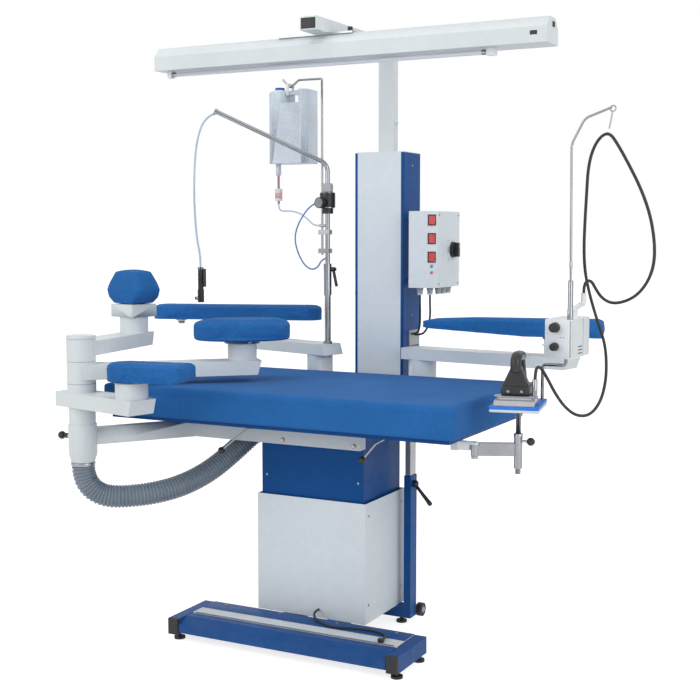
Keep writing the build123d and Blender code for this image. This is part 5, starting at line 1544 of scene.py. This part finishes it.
# ---------------------------------------------------------------- iron rest
@dataclass
class IronRest(Assembly):
    """Rest plate, steam unit, hose mast and the iron."""

    title: str = "iron rest"
    centre: tuple[float, float] = (795, -158)
    turn: float = 11.5
    sole: float = 0.900

    def on_rest(self, *pieces: bpy.types.Object) -> None:
        """Carry pieces drawn about the rest's centre to their place.

        Args:
            *pieces: The pieces, at their heights already.
        """
        move = Matrix.Translation(at(*self.centre, 0)) @ Matrix.Rotation(math.radians(self.turn), 4, "Z")
        for piece in pieces:
            piece.data.transform(move)

    def build(self) -> None:
        """Dress the rest and build the unit and the iron."""
        self.plate()
        self.link()
        self.mast()
        self.unit()
        self.iron()

    def plate(self) -> None:
        """White plate with its blue mat and bright stem."""
        plate = parts_of("rest_plate")[0]
        plate.name = "rest_board"
        WHITE_PAINT.dress(plate)
        repaint(plate, CHROME, lambda c: c.z < 0.8815)
        repaint(plate, MAT_BLUE, lambda c: c.z > 0.8901)
        seat("rest", Slot.WHITE_PAINT, plate)
        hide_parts("rest_plate")

    def link(self) -> None:
        """Cast link with its ball knob and pivot nut."""
        dress_nodes(CAST, "rest_link")
        ball = knob("rest_ball", at(840, -165, 777), (1, 0, 0), 0.0133)
        nut = lathe("rest_pivot_nut", [(0.0105, 0), (0.0115, 0.001), (0.0115, 0.009), (0.0105, 0.010)],
                    at(672, -223, 717.5), (0, 0, 1), 6)
        collar = lathe("rest_collar", [(0.0145, 0), (0.0148, 0.001), (0.0148, 0.012), (0.0142, 0.013)],
                       at(798, -165, 787.4), (0, 0, 1), 40)
        BLACK_PLASTIC.dress(ball)
        STEEL.dress(nut, collar)
        seat("rest_link", Slot.BLACK_PLASTIC, ball)
        seat("rest_link", Slot.BRIGHT_STEEL, nut, collar)

    def mast(self) -> None:
        """Bent rod, socket, sprung hose mast and its hook."""
        dress_nodes(CHROME, "rest_mast")
        socket = lathe(
            "mast_socket", [(0.0095, 0), (0.0095, 0.03), (0.0085, 0.034), (0.0085, 0.12), (0.0065, 0.1262)],
            at(927, -50, 1163), (0, 0, 1), 32,
        )
        ferrule = lathe("mast_ferrule", [(0.0052, 0), (0.0052, 0.016), (0.0046, 0.018)], at(926.5, -50, 1330), (0, 0, 1), 24)
        CHROME.dress(socket)
        STEEL.dress(ferrule)
        seat("rest", Slot.CHROME, socket)
        seat("rest", Slot.BRIGHT_STEEL, ferrule)

    def unit(self) -> None:
        """Steam unit: case, front panel, slots, dial rings with a painted glow, and lights."""
        dress_nodes(PALE_PLASTIC, "steam_unit")
        dress_nodes(BLACK_PLASTIC, "steam_knob", "heat_knob")
        case = box("unit_case", at(846.7, -58, 1035.7), at(937.3, 135.3, 1163.3), 0.004, 3)
        front = box("unit_front", at(848, -60.3, 1037), at(926, -56, 1162), 0.0012)
        edge = box("unit_edge", at(926.2, -60.3, 1036.5), at(937.3, -50, 1162.8), 0.0045, 4)
        slots = join("unit_slots", [
            box("unit_slot", at(936.5, 8, z), at(937.6, 52, z + 4), 0.0003, 1) for z in (1047, 1058, 1069)
        ])
        seam = box("unit_seam", at(936.6, 63, 1036.2), at(937.6, 64.4, 1162.8), 0.0002, 1)
        WHITE_PAINT.dress(front)
        CREAM_PAINT.dress(case)
        GREY_PLASTIC.dress(edge)
        BLACK_PLASTIC.dress(slots, seam)
        seat("rest", Slot.WHITE_PAINT, case, front, edge)
        seat("rest", Slot.BLACK_PLASTIC, slots, seam)
        # The printed dial dashes take the glowing red and blue finishes: a painted glow on print that is no lamp.
        for name, z, radius, finish in (("steam_dial", 1137, 0.0195, RED_LAMP_AND_PAINTED_GLOW), ("heat_dial", 1075, 0.0165, BLUE_LAMP_AND_PAINTED_GLOW)):
            ring = self.dial_ring(name, z, radius)
            finish.dress(ring)
            seat("rest", Slot.RED, ring)
        for number, x in enumerate((891, 901, 911)):
            light = lathe(f"unit_light_{number + 1}", [(0.0017, 0), (0.0016, 0.0008), (0.0008, 0.0013)],
                          at(x, -60.2, 1105), (0, -1, 0), 16)
            (RED_LAMP_AND_PAINTED_GLOW if number == 0 else BLACK_PLASTIC).dress(light)
            seat("rest", Slot.RED, light)
        for name, z, body, radius in (("steam_grip", 1137, "steam_knob", 15), ("heat_grip", 1075, "heat_knob", 12)):
            r = radius / 1000
            grip = lathe(name, [(r + 0.0015, 0.0), (r + 0.0018, 0.0012), (r + 0.0004, 0.003), (r + 0.0003, 0.020),
                                (r - 0.0015, 0.0224), (r * 0.5, 0.0228)], at(881, -60.7, z), (0, -1, 0), 24)
            BLACK_PLASTIC.dress(grip)
            seat(body, Slot.BLACK_PLASTIC, grip)

    def dial_ring(self, name: str, z: float, radius: float) -> bpy.types.Object:
        """Printed ring round a knob, as dashes.

        Args:
            name: Name of the ring.
            z: Height of the knob in millimetres.
            radius: Radius of the ring.

        Returns:
            The dashes.
        """
        dashes = []
        for step in range(11):
            a = math.radians(-60 + 30 * step)
            dash = box("dash", (-0.0005, -0.0013, 0), (0.0005, 0.0013, 0.0003), 0.0001, 1)
            dash.data.transform(Matrix.Rotation(a - math.pi / 2, 4, "Z"))
            dash.data.transform(Matrix.Translation((radius * math.cos(a), radius * math.sin(a), 0)))
            dash.data.transform(Matrix.Translation(at(881, -60.2, z)) @ Matrix.Rotation(math.pi / 2, 4, "X"))
            dashes.append(dash)
        return join(name, dashes)

    def iron(self) -> None:
        """Iron: sole, skirt, body, grip, thermostat, guard and steam pipe."""
        dress_nodes(SOLE, "iron_sole")
        z = self.sole + 0.032
        skirt = box("iron_skirt", (-0.045, -0.090, z), (0.045, 0.052, z + 0.030), 0.006, 3)
        pick(skirt, "FACE", lambda c, n: n.y > 0.9)
        bpy.ops.mesh.extrude_region_move(TRANSFORM_OT_translate={"value": (0, 0.036, 0)})
        bpy.ops.transform.resize(value=(0.12, 1, 0.8), center_override=(0, 0.088, z + 0.012))
        leave()
        settle(skirt)
        body = box("iron_rear", (-0.041, -0.087, z + 0.026), (0.041, -0.030, z + 0.092), 0.007, 3)
        pick(body, "FACE", lambda c, n: c.z > z + 0.084)
        bpy.ops.transform.resize(value=(0.42, 0.66, 1), center_override=(0, -0.062, z + 0.092))
        leave()
        settle(body)
        front = box("iron_front", (-0.022, 0.014, z + 0.026), (0.022, 0.050, z + 0.106), 0.007, 3)
        pick(front, "FACE", lambda c, n: c.z > z + 0.098)
        bpy.ops.transform.resize(value=(0.66, 0.7, 1), center_override=(0, 0.034, z + 0.106))
        leave()
        settle(front)
        grip = wire(
            "iron_grip",
            [(0, -0.072, z + 0.078), (0, -0.078, z + 0.106), (0, -0.060, z + 0.121), (0, -0.020, z + 0.120),
             (0, 0.020, z + 0.116), (0, 0.046, z + 0.113)], 0.0175,
        )
        dial = lathe("iron_dial", [(0.017, 0), (0.018, 0.002), (0.0175, 0.009), (0.012, 0.0105)],
                     (0, -0.014, z + 0.0305), (0, 0, 1), 40)
        tube = lathe("iron_pipe", [(0.0082, 0), (0.0082, 0.052), (0.0076, 0.0535)], (0, 0, 0), (0, 0, 1), 32)
        tube.data.transform(Matrix.Translation(Vector((0.861, -0.254, z))))
        heel = [screw("iron_screw", (x, -0.0905, z + 0.014), (0, -1, 0), 0.0055) for x in (-0.021, 0.021)]
        screws = join("iron_screws", heel)
        guard = wire(
            "iron_guard",
            [(-0.058, 0.010, z - 0.014), (-0.066, -0.020, z - 0.006), (-0.067, -0.078, z - 0.004),
             (-0.058, -0.1075, z - 0.002), (0.058, -0.1075, z - 0.002), (0.067, -0.078, z - 0.004),
             (0.066, -0.020, z - 0.006), (0.058, 0.010, z - 0.014)], 0.0024,
        )
        plate = box("iron_heel_plate", (-0.060, -0.1045, z - 0.0005), (0.060, -0.070, z + 0.0015), 0.0006)
        self.on_rest(skirt, body, front, grip, dial, screws, guard, plate)
        IRON_BLACK.dress(skirt, body, front, grip)
        BLACK_PLASTIC.dress(dial)
        CHROME.dress(tube, screws, guard, plate)
        seat("iron", Slot.BLACK_PLASTIC, skirt, body, front, grip, dial)
        seat("iron", Slot.CHROME, tube, screws, guard, plate)
        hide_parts("iron_body")


# ---------------------------------------------------------------- spray rig
@dataclass
class SprayRig(Assembly):
    """Post, boom, regulator, water can and spray gun."""

    title: str = "spray rig"
    axis: tuple[float, float] = (-217, 432)

    def build(self) -> None:
        """Dress the rig and add the fittings."""
        dress_nodes(CHROME, "boom", "spray_post")
        dress_nodes(BLACK_PLASTIC, "post_lever", "gun_trigger", "spray_gun")
        self.regulator()
        self.can()
        self.filter()
        self.gun()

    def regulator(self) -> None:
        """Pressure regulator with a ribbed cap, and its gauge."""
        x, y = self.axis
        body = lathe(
            "regulator", [(0.021, 0), (0.0226, 0.002), (0.0226, 0.022), (0.0296, 0.024), (0.0306, 0.028),
                          (0.0306, 0.080), (0.029, 0.0832), (0.0208, 0.0840), (0.0208, 0.086)],
            at(x, y, 1517.5), (0, 0, 1), 48,
        )
        cap = lathe("regulator_cap", [(0.0206, 0), (0.022, 0.002), (0.022, 0.030), (0.020, 0.0345), (0.0095, 0.036)],
                    at(x, y, 1602), (0, 0, 1), 18)
        way = at(x - 10, y - 56, 1560) - at(x - 4, y - 24, 1560)
        rim = lathe("gauge_rim", [(0.016, 0.002), (0.0213, 0.006), (0.0216, 0.030), (0.0206, 0.0332), (0.0186, 0.0334),
                                  (0.0184, 0.031)], at(x - 4, y - 24, 1560), way, 48)
        face = lathe("gauge_face", [(0.0183, 0), (0.0183, 0.0008)], at(x - 4, y - 24, 1560) + way.normalized() * 0.0312,
                     way, 48)
        needle = rod("gauge_needle", (0, 0, 0), (0.011, 0.006, 0), 0.0006, 0.0001, 12)
        turn = way.to_track_quat("Z", "Y").to_matrix().to_4x4()
        needle.data.transform(
            Matrix.Translation(at(x - 4, y - 24, 1560) + way.normalized() * 0.0327) @ turn)
        BLACK_PLASTIC.dress(body, rim, needle)
        GREY_PLASTIC.dress(cap)
        DIAL.dress(face)
        seat("boom", Slot.BLACK_PLASTIC, body, cap, rim, needle)
        seat("boom", Slot.WHITE_PAINT, face)

    def can(self) -> None:
        """Water can with its cap, tap and strap."""
        body, *others = parts_of("jerry_can")
        body.name = "can_body"
        CAN_PLASTIC.dress(body)
        middle = at(-480, 512, 0)
        repaint(body, BLUE_PLASTIC, lambda c: c.z > 2.0035 and math.hypot(c.x - middle.x, c.y - middle.y) < 0.0192)
        seat("boom", Slot.CAN, body)
        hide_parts("jerry_can")
        for number, part in enumerate(others):
            part.name = f"can_fitting_{number + 1}"
            PALE_PLASTIC.dress(part)
            seat("boom", Slot.CAN, part)
        rim = lathe("can_cap_grip", [(0.0194, 0), (0.0198, 0.001), (0.0198, 0.013), (0.0185, 0.0146), (0.006, 0.015)],
                    at(-480, 512, 2016), (0, 0, 1), 24)
        BLUE_PLASTIC.dress(rim)
        seat("boom", Slot.CAN, rim)

    def filter(self) -> None:
        """Water filter under the tap."""
        parts = parts_of("feed_line")
        keep = [p for p in parts if max(p.dimensions.x, p.dimensions.y) < 0.035]
        for part in parts:
            if part not in keep:
                bpy.data.objects.remove(part)
        for number, part in enumerate(keep):
            part.name = f"filter_part_{number + 1}"
        PINK_FILTER.dress(*keep)
        head = lathe("filter_head", [(0.0155, 0), (0.0158, 0.001), (0.0158, 0.014), (0.012, 0.018)],
                     at(-489, 512, 1606), (0, 0, 1), 24)
        foot = lathe("filter_foot", [(0.0154, 0), (0.0157, 0.001), (0.0157, 0.009), (0.0154, 0.010)],
                     at(-489, 512, 1573.8), (0, 0, 1), 24)
        PALE_PLASTIC.dress(head, foot)
        seat("boom", Slot.CLEAR_HOSE, *keep, head, foot)

    def gun(self) -> None:
        """Nozzle, nut and grip rings of the spray gun."""
        x, y, z = -684, 225, 1305
        nut = lathe("gun_nut", [(0.0112, 0), (0.012, 0.001), (0.012, 0.010), (0.0112, 0.011)], at(x, y, z - 11), (0, 0, 1), 6)
        tip = lathe("gun_nozzle", [(0.0066, 0), (0.0070, 0.001), (0.0070, 0.008), (0.004, 0.011), (0.0025, 0.011)],
                    at(x, y - 26, z - 123), (0, -1, 0.1), 24)
        rings = [
            lathe("gun_ring", [(0.0112, 0), (0.0118, 0.0006), (0.0118, 0.003), (0.0112, 0.0036)],
                  at(x, y, z - 30 - 9 * k), (0, 0, 1), 28) for k in range(4)
        ]
        grip = join("gun_grip", rings)
        CHROME.dress(nut, tip)
        BLACK_PLASTIC.dress(grip)
        seat("boom", Slot.CHROME, nut, tip)
        seat("boom", Slot.BLACK_PLASTIC, grip)


# ---------------------------------------------------------------- run
def main() -> None:
    """Build every assembly in order."""
    logging.basicConfig(level=logging.INFO, format="%(name)s: %(message)s")
    Effects().build()
    for assembly in (
        Studio(), Hoses(), Pedestal(), Carriage(), ControlColumn(), IronRest(), SprayRig(), Cushions(),
    ):
        assembly.build()
        LOG.info("built %s", assembly.title)


if __name__ == "__main__":
    main()
